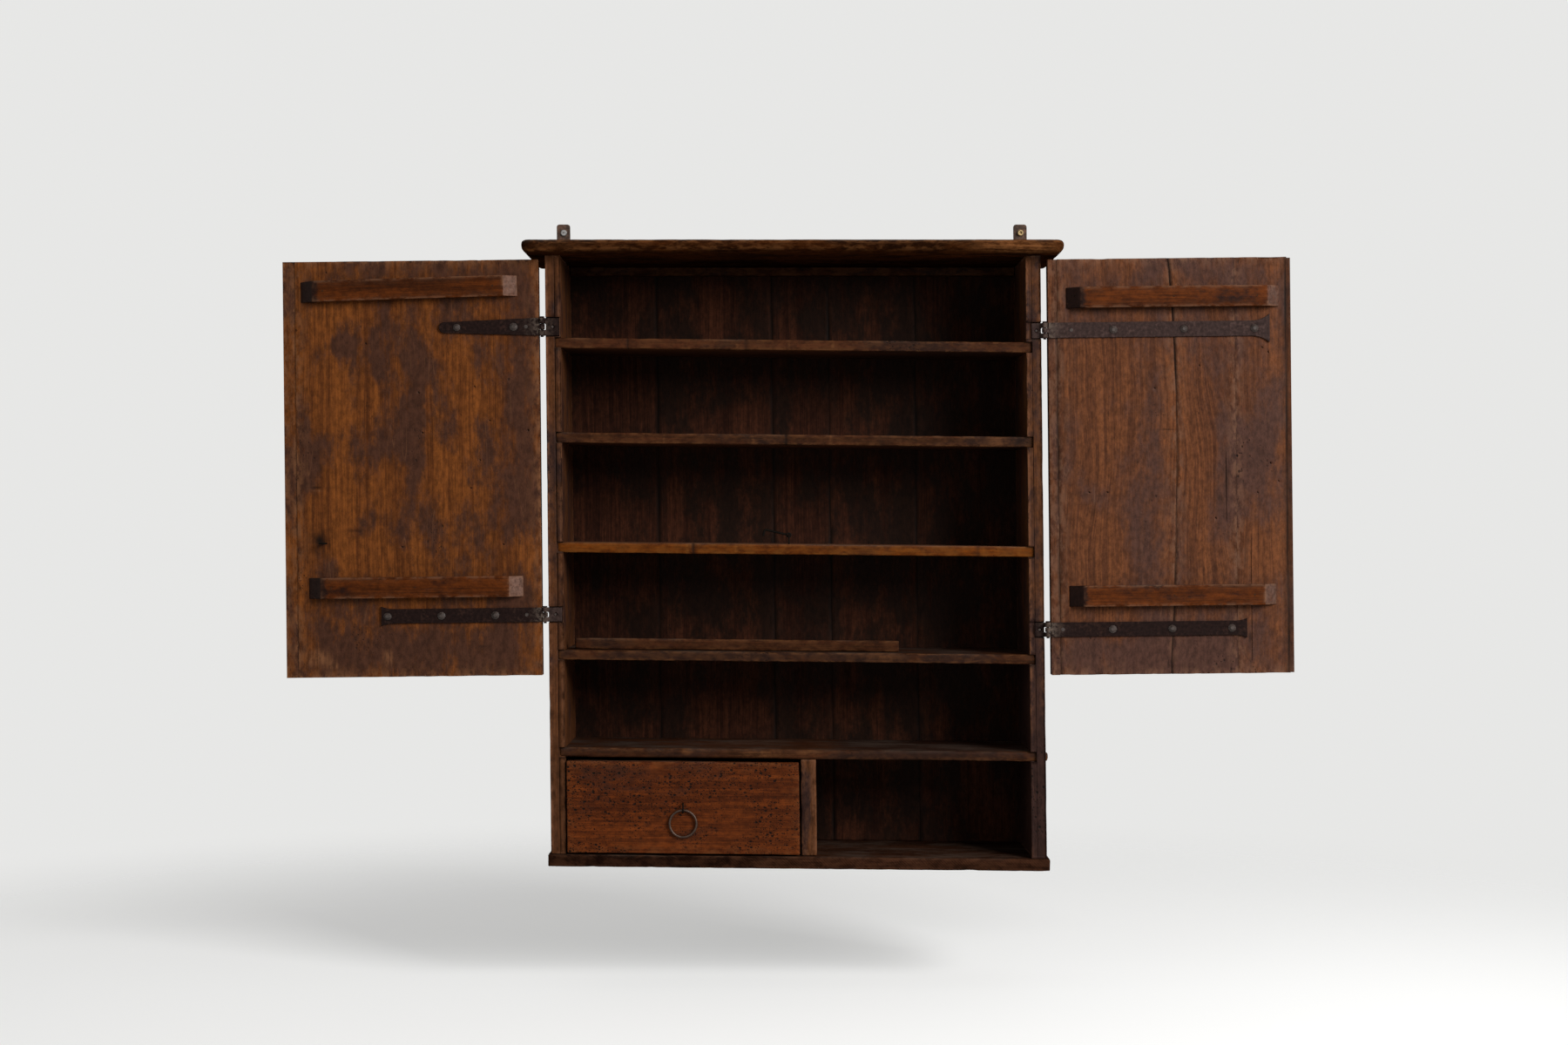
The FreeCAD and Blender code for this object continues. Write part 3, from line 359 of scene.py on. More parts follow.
def drawer_wood():
    """Red-orange, pitted by worm."""
    return aged_wood(
        "pitted_drawer_wood", bare=(0.120, 0.026, 0.004), deep=(0.048, 0.010, 0.002),
        glaze=(0.032, 0.010, 0.005), worn=(0.12, 0.036, 0.010), glazed=-0.04, wormy=0.26,
    )


def shelf_wood():
    """Handled brown with golden edges."""
    return aged_wood(
        "brown_shelf_wood", bare=(0.052, 0.015, 0.005), deep=(0.022, 0.007, 0.002),
        glaze=(0.018, 0.007, 0.004), worn=(0.105, 0.040, 0.014), dull=0.05,
    )


def honey_shelf_wood():
    """The third shelf's brighter honey, dusty on top."""
    return aged_wood(
        "honey_shelf_wood", bare=(0.140, 0.034, 0.002), deep=(0.064, 0.015, 0.001),
        glaze=(0.040, 0.012, 0.003), worn=(0.15, 0.050, 0.008), glazed=-0.06, dusty=0.52,
    )


def side_wood():
    """Sides and divider."""
    return aged_wood(
        "brown_side_wood", bare=(0.092, 0.031, 0.010), deep=(0.036, 0.013, 0.005),
        glaze=(0.022, 0.010, 0.008), worn=(0.14, 0.056, 0.026), glazed=0.02, wormy=0.04, handled=0.02,
        dull=0.05,
    )


def top_wood():
    """Dark, dull top with a golden worn nose."""
    return aged_wood(
        "golden_nosed_wood", bare=(0.066, 0.0185, 0.0045), deep=(0.025, 0.007, 0.002),
        glaze=(0.015, 0.005, 0.002), worn=(0.175, 0.068, 0.023), glazed=0.05, dull=0.06, gloss=0.0,
    )


def foot_wood():
    """Dark bottom board with slanting saw marks."""
    return aged_wood(
        "dark_foot_wood", bare=(0.040, 0.0155, 0.008), deep=(0.017, 0.0065, 0.0035),
        glaze=(0.010, 0.004, 0.0025), worn=(0.06, 0.024, 0.012), wormy=0.02, dull=0.08, gloss=0.0, sawn=0.25,
    )


def smoky_wood():
    """Smoky, unpolished back boards, redder where the dark glaze is thin."""
    return aged_wood(
        "smoky_back_wood", bare=(0.058, 0.0180, 0.0080), deep=(0.020, 0.0065, 0.0035),
        glaze=(0.010, 0.004, 0.002), worn=(0.030, 0.011, 0.006), glazed=0.08, dull=0.14,
    )


def inside_wood():
    """Bare, grey-brown boards inside the drawer."""
    return aged_wood(
        "bare_drawer_wood", bare=(0.150, 0.082, 0.043), deep=(0.082, 0.042, 0.021),
        glaze=(0.055, 0.027, 0.014), worn=(0.16, 0.095, 0.053), glazed=-0.10, dull=0.14,
    )


def iron(name, dark, rust, rusty=0.0, shine=0.0, gloss=0.04, smooth=0.0):
    """Hammered iron, dark with rust in patches, and bare where it is rubbed."""
    material, tree, surface = new_material(name)
    place = add(tree, "ShaderNodeTexCoord").outputs["Object"]
    coarse = cloud(place, 6.0, 0.7, RUST_RATE)
    fine = cloud(place, 5.0, 0.65, PIT_RATE)
    blend = summed((coarse, 0.6), (fine, 0.4))
    skin = mixed(between(blend, 0.54 - rusty, 0.66 - rusty), colour(*dark), colour(*rust))
    skin = shaded(skin, between(fine, 0.36, 0.64, 0.75, 1.3))
    skin = mixed(times(attribute(tree, "rub"), between(blend, 0.44, 0.56)), skin, RUBBED)
    # the ring about nail heads is painted into the base colour as soot and painted shade
    fill(surface, {
        "Base Color": mixed(attribute(tree, "shade_and_soot"), skin, SHADE_AND_SOOT), "Metallic": shine,
        "Specular IOR Level": gloss, "Normal": bumped(blend, 0.8, 0.5 * MM),
        "Roughness": between(blend, 0.35, 0.7, 0.55 - smooth, 0.85 - smooth),
    })
    return material


def strap_iron():
    """Dark brown straps and hinges."""
    return iron("strap_iron", (0.012, 0.006, 0.005), (0.023, 0.0115, 0.0085), rusty=0.03)


def fishtail_iron():
    """The fishtail strap, dusty and paler."""
    return iron("fishtail_iron", (0.033, 0.0195, 0.017), (0.050, 0.030, 0.026), rusty=0.03)


def nail_iron():
    """Rubbed nail heads, painted paler than the straps all over, as rubbed iron and as a painted highlight.
    """
    return iron("nail_iron", (0.041, 0.029, 0.024), (0.031, 0.020, 0.016), gloss=0.3, smooth=0.25)


def flat_nail_iron():
    """Dull flat heads of the carcase and the drawer."""
    return iron("flat_nail_iron", (0.022, 0.014, 0.011), (0.034, 0.018, 0.012), rusty=0.03)


def waxed_nail():
    """Small heads that wax has filled to the colour of the wood."""
    return iron("waxed_nail", (0.040, 0.015, 0.006), (0.055, 0.022, 0.010))


def catch_iron():
    """Almost black wire of hook, eye and staples."""
    return iron("catch_iron", (0.004, 0.003, 0.002), (0.008, 0.005, 0.003), smooth=0.1)


def ring_iron():
    """Ring polished by handling."""
    dark, rust = (0.050, 0.029, 0.020), (0.034, 0.018, 0.012)
    return iron("ring_iron", dark, rust, shine=0.7, gloss=0.5, smooth=0.25)


def hanger_iron():
    """Rusty flat plates."""
    return iron("rusty_hanger", (0.066, 0.043, 0.033), (0.105, 0.060, 0.042), rusty=0.08)


def screw_steel():
    """Worn screw steel."""
    return iron("screw_steel", (0.30, 0.29, 0.28), (0.20, 0.16, 0.13), rusty=-0.06, shine=0.85)


def screw_brass():
    """Yellow plated screw."""
    return iron("screw_brass", (0.42, 0.31, 0.16), (0.24, 0.16, 0.08), rusty=-0.06, shine=0.85)


# Boards

def board_corners(node, square=False):
    """A board's eight corners, keyed by the end that they lie at along X, Y and Z.

    A square board is as wide at its front as at its back, whatever is cut from its edge."""
    low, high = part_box(node)
    size = high - low
    points = [vertex.co.copy() for vertex in frame["nodes"][node].data.vertices]
    corners = {}
    for ends in itertools.product((0, 1), repeat=3):
        reach = Vector([(2 * end - 1) / length for end, length in zip(ends, size)])
        if square:
            reach.y = 0.0
        corners[ends] = max(points, key=reach.dot).copy()
        if square:
            corners[ends].y = (low, high)[ends[1]].y
    return corners


def board_sizes(corners):
    """Mean length of the board's edges along each of its own directions."""
    sizes = []
    for axis in range(3):
        near = [ends for ends in corners if not ends[axis]]
        far = [ends[:axis] + (1,) + ends[axis + 1:] for ends in near]
        lengths = [(corners[end] - corners[start]).length for start, end in zip(near, far)]
        sizes.append(sum(lengths) / len(lengths))
    return sizes


def lay(corners, sizes, place):
    """Where a place on the square board lies on the racked one."""
    shares = [part / size for part, size in zip(place, sizes)]
    spot = Vector()
    for ends, corner in corners.items():
        weight = 1.0
        for end, share in zip(ends, shares):
            weight *= share if end else 1 - share
        spot += corner * weight
    return spot


def unlay(corners, sizes, spot):
    """Place on the square board of a spot on the racked one."""
    place = Vector(spot) - corners[(0, 0, 0)]
    for _ in range(4):
        place += Vector(spot) - lay(corners, sizes, place)
    return place


def grid_lines(length, step, extra):
    """Grid lines along one direction of a board, closer at its ends and through the extra places."""
    margin = min(EDGE_LINE, length / 3)
    count = max(1, round((length - 2 * margin) / step))
    lines = [0.0, length]
    kept = [place for place in sorted(set(extra)) if 0 < place < length]
    for k in range(count + 1):
        line = margin + (length - 2 * margin) * k / count
        if all(abs(line - place) > LINE_APART for place in kept):
            lines.append(line)
    return sorted(lines + kept)


def cell_shell(lines, cuts):
    """Mesh of the outside of a block of cells, without those whose middle lies in a cut."""
    counts = [len(row) - 1 for row in lines]
    middles = [[(a + b) / 2 for a, b in zip(row, row[1:])] for row in lines]
    gone = set()
    for low, high in cuts:
        spans = [
            [k for k, middle in enumerate(row) if start < middle < end]
            for row, start, end in zip(middles, low, high)
        ]
        gone.update(itertools.product(*spans))

    def filled(cell):
        return all(0 <= k < count for k, count in zip(cell, counts)) and cell not in gone

    shell = bmesh.new()
    knots = {}

    def knot(key):
        if key not in knots:
            knots[key] = shell.verts.new([lines[axis][k] for axis, k in enumerate(key)])
        return knots[key]

    for cell in itertools.product(*[range(count) for count in counts]):
        if not filled(cell):
            continue
        for axis in range(3):
            side, rise = (axis + 1) % 3, (axis + 2) % 3
            for end in (0, 1):
                beyond = list(cell)
                beyond[axis] += 2 * end - 1
                if filled(tuple(beyond)):
                    continue
                ring = []
                for step_side, step_rise in ((0, 0), (1, 0), (1, 1), (0, 1)):
                    key = list(cell)
                    key[axis] += end
                    key[side] += step_side
                    key[rise] += step_rise
                    ring.append(knot(tuple(key)))
                shell.faces.new(ring if end else ring[::-1])
    return shell


def round_edges(shell, radius):
    """Ease every sharp edge of a board."""
    shell.normal_update()
    sharp = [edge for edge in shell.edges if edge.is_manifold and edge.calc_face_angle() > SHARP_ANGLE]
    bmesh.ops.bevel(
        shell, geom=sharp, offset=radius, segments=2, profile=0.5, affect="EDGES", clamp_overlap=True,
    )


def seam_dirt_and_shade(shell, sizes, shut, seed, seams):
    """Dirt and painted shade along the two edges where a board meets its neighbours, thicker and thinner by
    turns.

    The seams' two amounts are for its lower and its higher edge."""
    grime_and_shade = shell.verts.layers.float["grime_and_shade"]
    for vert in shell.verts:
        for amount, near in zip(seams, (vert.co[shut], sizes[shut] - vert.co[shut])):
            if near < SEAM_BAND:
                thick = 0.70 + 0.7 * noise.noise(vert.co * SEAM_RATE + BOARD_SHIFT * seed)
                vert[grime_and_shade] = max(vert[grime_and_shade], amount * min(max(thick, 0.3), 0.95))


def close_seams(shell, sizes, shut, seams, width):
    """Swell a board shut over half the width of each seam that it has."""
    for vert in shell.verts:
        if seams[0] and vert.co[shut] < SEAM_BAND:
            vert.co[shut] -= width / 2
        elif seams[1] and sizes[shut] - vert.co[shut] < SEAM_BAND:
            vert.co[shut] += width / 2


def weather(shell, sizes, along, seed, chips, shut=None, reach=WEAR_REACH):
    """Chip and ripple a board inwards, and mark its grain, wear, end grain and dust on its mesh.

    Faces across the direction shut touch their neighbours, and stay where they are."""
    grain = shell.verts.layers.float_vector.new("grain")
    wear = shell.verts.layers.float.new("wear")
    end_grain = shell.verts.layers.float.new("end_grain")
    dust = shell.verts.layers.float.new("dust")
    shift = BOARD_SHIFT * seed
    across = [axis for axis in range(3) if axis != along]
    shell.normal_update()
    moves = []
    for vert in shell.verts:
        place = vert.co
        normal = vert.normal
        near = sorted(min(place[axis], sizes[axis] - place[axis]) for axis in range(3))
        vert[wear] = math.exp(-max(near[1], 0.0) / reach)
        vert[grain] = Vector((place[along], place[across[0]], place[across[1]])) + shift
        vert[end_grain] = max(0.0, abs(normal[along]) * 1.5 - 0.5)
        vert[dust] = max(0.0, normal.z)
        ripple = noise.noise(place * RIPPLE_RATE + shift) * 0.5 - 0.5
        chip = max(0.0, noise.noise(place * CHIP_RATE + shift * 3) - CHIP_START)
        chip += 0.5 * max(0.0, noise.noise(place * CHIP_RATE * 3 + shift) - CHIP_START)
        move = normal * (ripple * RIPPLE_DEEP - chip * vert[wear] * chips)
        if shut is not None:
            move[shut] = 0.0
        moves.append(move)
    for vert, move in zip(shell.verts, moves):
        vert.co += move


def press_marks(shell, holes, splits):
    """Push old nail holes and splits into a board's front face, and darken them with dirt and painted shade.
    """
    grime_and_shade = shell.verts.layers.float.new("grime_and_shade")
    for vert in shell.verts:
        if vert.co.y > FACE_SKIN:
            continue
        for place, radius in holes:
            if abs(vert.co.x - place.x) < radius / 4 and abs(vert.co.z - place.z) < radius / 4:
                vert[grime_and_shade] = 1.0
                vert.co.y += 2 * radius
        for foot, head, width in splits:
            if abs(vert.co.x - foot.x) < width / 4 and foot.z < vert.co.z < head.z:
                share = (vert.co.z - foot.z) / (head.z - foot.z)
                vert[grime_and_shade] = min(1.0, 4 * share * (1 - share) + 0.3)
                vert.co.y += 3 * width * vert[grime_and_shade]


def paint(shell, layer, washes, spot_of, behind=math.inf):
    """Add soft oval washes, in real places, to a layer, and none further back than behind.

    Glaze gets thicker or, below nought, is rubbed away. Grime and painted shade are black or, below nought, a
    pale scuff."""
    for vert in shell.verts:
        spot = spot_of(vert.co)
        if spot.y > behind:
            continue
        for across, up, half_across, half_up, amount in washes:
            aside = (spot.x - across * MM) / (half_across * MM)
            above = (spot.z - up * MM) / (half_up * MM)
            vert[layer] += amount * math.exp(-(aside ** 2 + above ** 2))


def show(name, data):
    """Object of a mesh, lamp or camera, put into the scene."""
    thing = bpy.data.objects.new(name, data)
    bpy.context.scene.collection.objects.link(thing)
    return thing


def plain_mesh(holder):
    """Mesh that an object's modifier makes; the object itself goes."""
    mesh = bpy.data.meshes.new_from_object(holder.evaluated_get(bpy.context.evaluated_depsgraph_get()))
    bpy.data.objects.remove(holder)
    return mesh


def to_mesh(name, shell):
    """Mesh from a shell, which goes."""
    mesh = bpy.data.meshes.new(name)
    shell.to_mesh(mesh)
    shell.free()
    return mesh


def dressed(name, mesh, material, body, smooth=True):
    """Object of a finished mesh with its one material, riding on its body."""
    for polygon in mesh.polygons:
        polygon.use_smooth = smooth
    mesh.materials.clear()
    mesh.materials.append(material)
    piece = show(name, mesh)
    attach(piece, body)
    return piece


def stand_in(kind, node, shell, material):
    """Finished piece of a kind, in place of its node."""
    name = f"{kind}_{node}"
    piece = dressed(name, to_mesh(name, shell), material, body_of[node])
    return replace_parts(piece, node)


def bowed(share):
    """How far right of straight the right door's open seam lies, at a share of the door's height."""
    stray = SEAM_STRAY * noise.noise(Vector((0.0, 0.0, share * STRAY_RATE)))
    return SEAM_LEAN + SEAM_BOW * math.sin(math.pi * max(0.0, 1 - share) ** 0.8) + stray


def plank(
    node, material, along=None, shut=None, cuts=(), holes=(), splits=(), washes=(), stains=(),
    chips=CHIP_DEEP, edge=EDGE_ROUND, reach=WEAR_REACH, seams=(1.0, 1.0), swollen=0.0, square=False,
    bow=(0.0, 0.0),
):
    """Worn copy of a board in place of its node: rounded, chipped and rippled, with its marks.

    bow says which of its two edges follow the right door's open seam."""
    corners = board_corners(node, square)
    sizes = board_sizes(corners)

    def on_rack(place):
        return lay(corners, sizes, place)

    def on_square(spot):
        return unlay(corners, sizes, spot)

    if along is None:
        along = sizes.index(max(sizes))
    cuts = [(on_square(low), on_square(high)) for low, high in cuts]
    holes = [(on_square(spot), radius) for spot, radius in holes]
    splits = [(on_square(foot), on_square(head), width) for foot, head, width in splits]
    extra = [[], [], []]
    for low, high in cuts:
        for axis in range(3):
            extra[axis] += [low[axis], high[axis]]
    for place, radius in holes:
        for axis in (0, 2):
            extra[axis] += [place[axis] - radius, place[axis], place[axis] + radius]
    for foot, _, width in splits:
        extra[0] += [foot.x - width / 2, foot.x, foot.x + width / 2]
    for across, up, half_across, half_up, _ in stains:
        place = on_square((across * MM, corners[(0, 0, 0)].y, up * MM))
        extra[0] += [place.x + step * half_across * MM / 2 for step in STAIN_STEPS]
        if half_up < LONG_STAIN:
            extra[2] += [place.z + step * half_up * MM / 2 for step in STAIN_STEPS]
    lines = [grid_lines(size, BOARD_CELL, places) for size, places in zip(sizes, extra)]
    shell = cell_shell(lines, cuts)
    round_edges(shell, edge)
    press_marks(shell, holes, splits)
    paint(shell, shell.verts.layers.float.new("glaze"), washes, on_rack)
    paint(shell, shell.verts.layers.float["grime_and_shade"], stains, on_rack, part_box(node)[0].y + STAIN_DEEP)
    if shut is not None:
        seam_dirt_and_shade(shell, sizes, shut, seed_of[node], seams)
    weather(shell, sizes, along, seed_of[node], chips, shut, reach)
    if swollen:
        close_seams(shell, sizes, shut, seams, swollen)
    for vert in shell.verts:
        share = vert.co.x / sizes[0]
        vert.co.x += (bow[0] * (1 - share) ** 2 + bow[1] * share ** 2) * bowed(vert.co.z / sizes[2])
        vert.co = on_rack(vert.co)
    return stand_in("worn", node, shell, material)


def grown(node, room):
    """A node's box, made larger by the room on each side."""
    low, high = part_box(node)
    return low - room, high + room


def merged(node):
    """Closed mesh from the loose triangles of a node."""
    shell = bmesh.new()
    shell.from_mesh(frame["nodes"][node].data)
    bmesh.ops.remove_doubles(shell, verts=shell.verts, dist=WELD_WITHIN)
    return shell


def remeshed(node, voxel):
    """Even, softly rounded mesh of a node's shape."""
    name = "rough_" + node
    rough = show(name, to_mesh(name, merged(node)))
    rough.modifiers.new("even", "REMESH").voxel_size = voxel
    shell = bmesh.new()
    shell.from_mesh(plain_mesh(rough))
    return shell


def shaped_plank(node, material, chips, reach, washes=(), stains=(), nose=0.0):
    """Worn copy of a board that isn't a plain block, its nose worn up from below by hands."""
    low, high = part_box(node)
    sizes = list(high - low)
    shell = remeshed(node, SHAPED_CELL)
    paint(shell, shell.verts.layers.float.new("glaze"), washes, Vector)
    paint(shell, shell.verts.layers.float.new("grime_and_shade"), stains, Vector, low.y + STAIN_DEEP)
    for vert in shell.verts:
        vert.co -= low
    weather(shell, sizes, sizes.index(max(sizes)), seed_of[node], chips, reach=reach)
    for vert in shell.verts:
        ends = min(vert.co.x, sizes[0] - vert.co.x) / NOSE_LONG
        under = 1 - vert.co.z / sizes[2]
        ahead = max(0.0, 1 - vert.co.y / NOSE_DEEP)
        vert.co.z += nose * min(ends, 1.0) * under * ahead ** 2
        vert.co += low
    return stand_in("worn", node, shell, material)


def forged(node, material, voxel, hammer=HAMMER_DEEP, hinge=None, nails=()):
    """Hammered copy of an iron piece in place of its node, rubbed bare towards a hinge at a place across.

    A dark ring of soot and painted shade lies about the nails that hold it."""
    shell = remeshed(node, voxel)
    shell.normal_update()
    rub = shell.verts.layers.float.new("rub")
    shade_and_soot = shell.verts.layers.float.new("shade_and_soot")
    moves = []
    for vert in shell.verts:
        if hinge is not None:
            vert[rub] = math.exp(-abs(vert.co.x - hinge) / RUB_REACH)
        for spot in nails:
            far = math.hypot(vert.co.x - spot.x, vert.co.z - spot.z)
            vert[shade_and_soot] = max(vert[shade_and_soot], 0.8 * math.exp(-max(far - NAIL_WIDE, 0.0) / SHADE_AND_SOOT_REACH))
        dent = noise.noise(vert.co * HAMMER_RATE) * 0.6 + noise.noise(vert.co * HAMMER_RATE * 2.7) * 0.4
        moves.append(vert.normal * (dent * 0.5 - 0.5) * hammer)
    low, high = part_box(node)
    for vert, move in zip(shell.verts, moves):
        spot = vert.co + move
        vert.co = [min(max(part, start), end) for part, start, end in zip(spot, low, high)]
    return stand_in("forged", node, shell, material)


# Carcase

NOSE_LONG = 150.0 * MM          # the nose is whole at its ends, and worn up further in than this
NOSE_DEEP = 30.0 * MM
NOSE_WORN = 6.0 * MM
HOUSING_DEEP = 8.0 * MM
STRAP_BED = 3.2 * MM
LEAF_ROOM = Vector((0.2, 0.0, 0.8)) * MM
HANGER_ROOM = Vector((1.0, 0.1, 0.5)) * MM
GAUGE_WIDE = 0.6 * MM


def side_cuts(side):
    """Openings in a side's front edge: the hinge notches, and the housings ahead of the shelves."""
    low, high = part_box(f"{side}_side")
    front = low.y - MM
    cuts = []
    for place in ("upper", "lower"):
        leaf_low, leaf_high = grown(f"{side}_hinge_leaf_{place}", LEAF_ROOM)
        cuts.append((Vector((leaf_low.x, front, leaf_low.z)), leaf_high))
        cuts.append((Vector((low.x, front, leaf_low.z)), Vector((high.x, low.y + STRAP_BED, leaf_high.z))))
    end = 0 if side == "left" else 1
    inward = Vector((1 - 2 * end, 0, 0))
    for shelf in ("shelf_1", "shelf_2", "shelf_3", "shelf_4", "drawer_shelf"):
        corners = board_corners(shelf)
        foot = corners[(end, 0, 0)]
        past = foot + inward * 2 * HOUSING_DEEP
        head = corners[(end, 0, 1)]
        near, far = sorted((foot.x, past.x))
        cuts.append((Vector((near, front, foot.z)), Vector((far, foot.y + MM, head.z))))
    return cuts


def gauge_line(side):
    """Line scribed along a side's front edge at the depth of the housings."""
    corners = board_corners(f"{side}_side")
    inner = 1 if side == "left" else 0
    inward = Vector((HOUSING_DEEP if side == "right" else -HOUSING_DEEP, 0, 0))
    return corners[(inner, 0, 0)] + inward, corners[(inner, 0, 1)] + inward, GAUGE_WIDE


def build_carcase():
    """Top, sides, shelves, bottom, divider, lip and cleat."""
    case = side_wood()
    shelf = shelf_wood()
    shaped_plank("top_board", top_wood(), 2.0 * MM, 5.0 * MM, stains=TOP_STAINS, nose=NOSE_WORN)
    for side in ("left", "right"):
        plank(
            f"{side}_side", case, cuts=side_cuts(side), splits=[gauge_line(side)], washes=SIDE_WASHES[side],
            chips=2.2 * MM, edge=1.2 * MM, reach=4.0 * MM,
        )
    for node, washes in SHELF_WASHES.items():
        plank(node, shelf, washes=washes, stains=SHELF_STAINS.get(node, ()), chips=2.2 * MM, reach=3.0 * MM)
    plank("shelf_3", honey_shelf_wood(), stains=SHELF_STAINS["shelf_3"], chips=1.8 * MM, reach=4.0 * MM)
    shaped_plank("drawer_shelf", shelf, 1.8 * MM, 4.0 * MM, LOW_SHELF_WASHES, LOW_SHELF_STAINS)
    plank("drawer_divider", case, along=2, washes=DIVIDER_WASHES, chips=2.0 * MM)
    plank("top_cleat", shelf, chips=1.5 * MM)
    plank("bottom_board", foot_wood(), washes=FOOT_WASHES, chips=2.0 * MM, reach=4.0 * MM)


def build_back():
    """Five smoky back boards, the outer ones let in for the hanger plates."""
    wood = smoky_wood()
    hangers = {"back_board_1": "left_hanger", "back_board_5": "right_hanger"}
    for k in range(1, 6):
        node = f"back_board_{k}"
        cuts = [grown(hangers[node], HANGER_ROOM)] if node in hangers else []
        plank(
            node, wood, shut=0, cuts=cuts, washes=BACK_WASHES, chips=1.0 * MM, edge=0.8 * MM,
            seams=(float(k > 1), float(k < 5)), swollen=BACK_SEAM,
        )


# Doors

TONGUE_WIDE = 7.0 * MM
TONGUE_DEEP = 10.0 * MM
LIP_ROOM = 0.4 * MM             # between the tongue and the lip when the doors are shut
BEVEL_LONG = 18.0               # of the battens' ends, in mm
BATTEN_WEAR = 1.6 * MM
PALE_BEVEL = (0.150, 0.085, 0.063)
DULL_BEVEL = (0.088, 0.050, 0.038)
DOOR_CHIPS = 1.2 * MM
DOOR_EDGE = 1.0 * MM
FAINT_EDGE = 0.5 * MM
OLD_HOLE = 1.6 * MM
SPLIT_WIDE = 1.2 * MM
DOOR_BOARD = {"shut": 0, "chips": DOOR_CHIPS, "swollen": DOOR_SEAM}
MARK_MARGIN = 6.0 * MM          # holes and splits keep this far in from a board's edges
SEAM_LEAN = -3.5 * MM           # the right door's open seam starts left of straight, and bows to the right
SEAM_BOW = 11.0 * MM
SEAM_STRAY = 1.0 * MM           # how far it wanders on its way
STRAY_RATE = 14.0

# Washes of glaze on the door faces: across, up, half width, half height in mm, and how much more or less
LEFT_WASHES = (
    (-613, -225, 33, 66, -0.16), (-602, -383, 33, 48, -0.18), (-551, -445, 44, 22, -0.16),
    (-451, -317, 18, 73, -0.12), (-528, -353, 15, 26, -0.14), (-598, -126, 37, 15, -0.10),
    (-414, -217, 22, 59, -0.06), (-503, -262, 16, 110, 0.16), (-595, -170, 18, 15, 0.22),
    (-356, -298, 24, 230, 0.11), (-628, -320, 26, 37, 0.14), (-495, -576, 175, 30, 0.14),
    (-551, -206, 16, 16, 0.12), (-500, -70, 160, 22, 0.04),
)
RIGHT_WASHES = (
    (605, -314, 41, 67, 0.24), (490, -580, 180, 32, 0.32), (500, -72, 40, 20, 0.16),
    (600, -80, 40, 20, 0.16), (605, -436, 30, 30, -0.20), (531, -350, 16, 110, -0.18),
    (420, -250, 60, 70, -0.10), (470, -420, 26, 70, 0.14), (560, -200, 30, 40, 0.12),
    (500, -300, 14, 60, -0.12), (400, -440, 30, 60, -0.10), (580, -400, 20, 50, 0.20),
    (610, -570, 40, 26, -0.14), (420, -590, 40, 14, -0.12), (510, -78, 14, 14, -0.20),
    (445, -340, 30, 60, 0.08),
)
# Stains on the door faces, in the same measures: black about the eye, old catches, the lip darkened as dirt
# and painted shade with a narrow painted shadow line along its step, and below nought pale scuffs
LEFT_STAINS = (
    (-625, -428, 10, 11, 1.0), (-578, -415, 11, 2.5, 0.6), (-537, -106, 7, 7, 0.35),
    (-457, -117, 4, 5, 0.6), (-629, -358, 8, 1.5, 0.7), (-408, -568, 7, 2, 0.5), (-345, -499, 4, 5, 0.6),
    (-628, -362, 7, 1.5, -0.8), (-570, -284, 1, 12, -0.5), (-373, -246, 0.8, 26, -0.35),
    (-367, -327, 0.8, 10, -0.4), (-660, -137, 2, 7, -0.6), (-660, -437, 2.5, 7, -0.5),
    (-660, -460, 2, 9, -0.5), (-659, -479, 2, 6, -0.4), (-628, -584, 18, 12, -1.0),
    (-534, -583, 7, 12, -0.8), (-606, -594, 6, 6, -0.9),
)
RIGHT_STAINS = (
    # the lip: a dark strip of dirt and painted shade, then narrow painted shadow lines along its step
    (656, -110, 6, 90, 0.5), (658, -265, 6, 90, 0.4), (660, -420, 6, 90, 0.5), (661, -560, 6, 80, 0.4),
    (652, -110, 1.5, 90, 0.6), (654, -265, 1.5, 90, 0.6), (655, -420, 1.5, 90, 0.6),
    (657, -560, 1.5, 80, 0.6), (497, -66, 1.5, 9, -0.6), (579, -257, 2, 12, -0.5), (603, -262, 2, 9, -0.4),
    (630, -269, 2, 5, -0.4), (582, -282, 4, 2, -0.4), (523, -557, 8, 1.5, -0.3), (618, -313, 8, 9, 0.35),
    (575, -345, 3, 26, 0.5), (565, -371, 5, 5, 0.4), (606, -558, 3, 10, 0.5), (403, -122, 9, 5, 0.4),
    (491, -281, 11, 1.2, 0.6),
)
# The same kinds of washes and stains on the carcase and the drawer front
SIDE_WASHES = {
    "left": ((-318, -760, 16, 110, -0.42), (-322, -240, 12, 60, -0.16), (-324, -330, 8, 50, 0.16)),
    "right": ((325, -770, 40, 130, 0.55), (320, -560, 16, 60, 0.16), (322, -250, 16, 70, 0.06)),
}
SHELF_WASHES = {
    "shelf_1": ((-150, -160, 60, 20, -0.12), (180, -165, 90, 20, 0.16)),
    "shelf_2": ((-200, -290, 60, 20, -0.12), (300, -300, 40, 20, 0.22)),
    "shelf_4": ((0, -580, 400, 30, 0.16),),
    "shelf_lip": ((-150, -570, 60, 20, -0.10),),
}
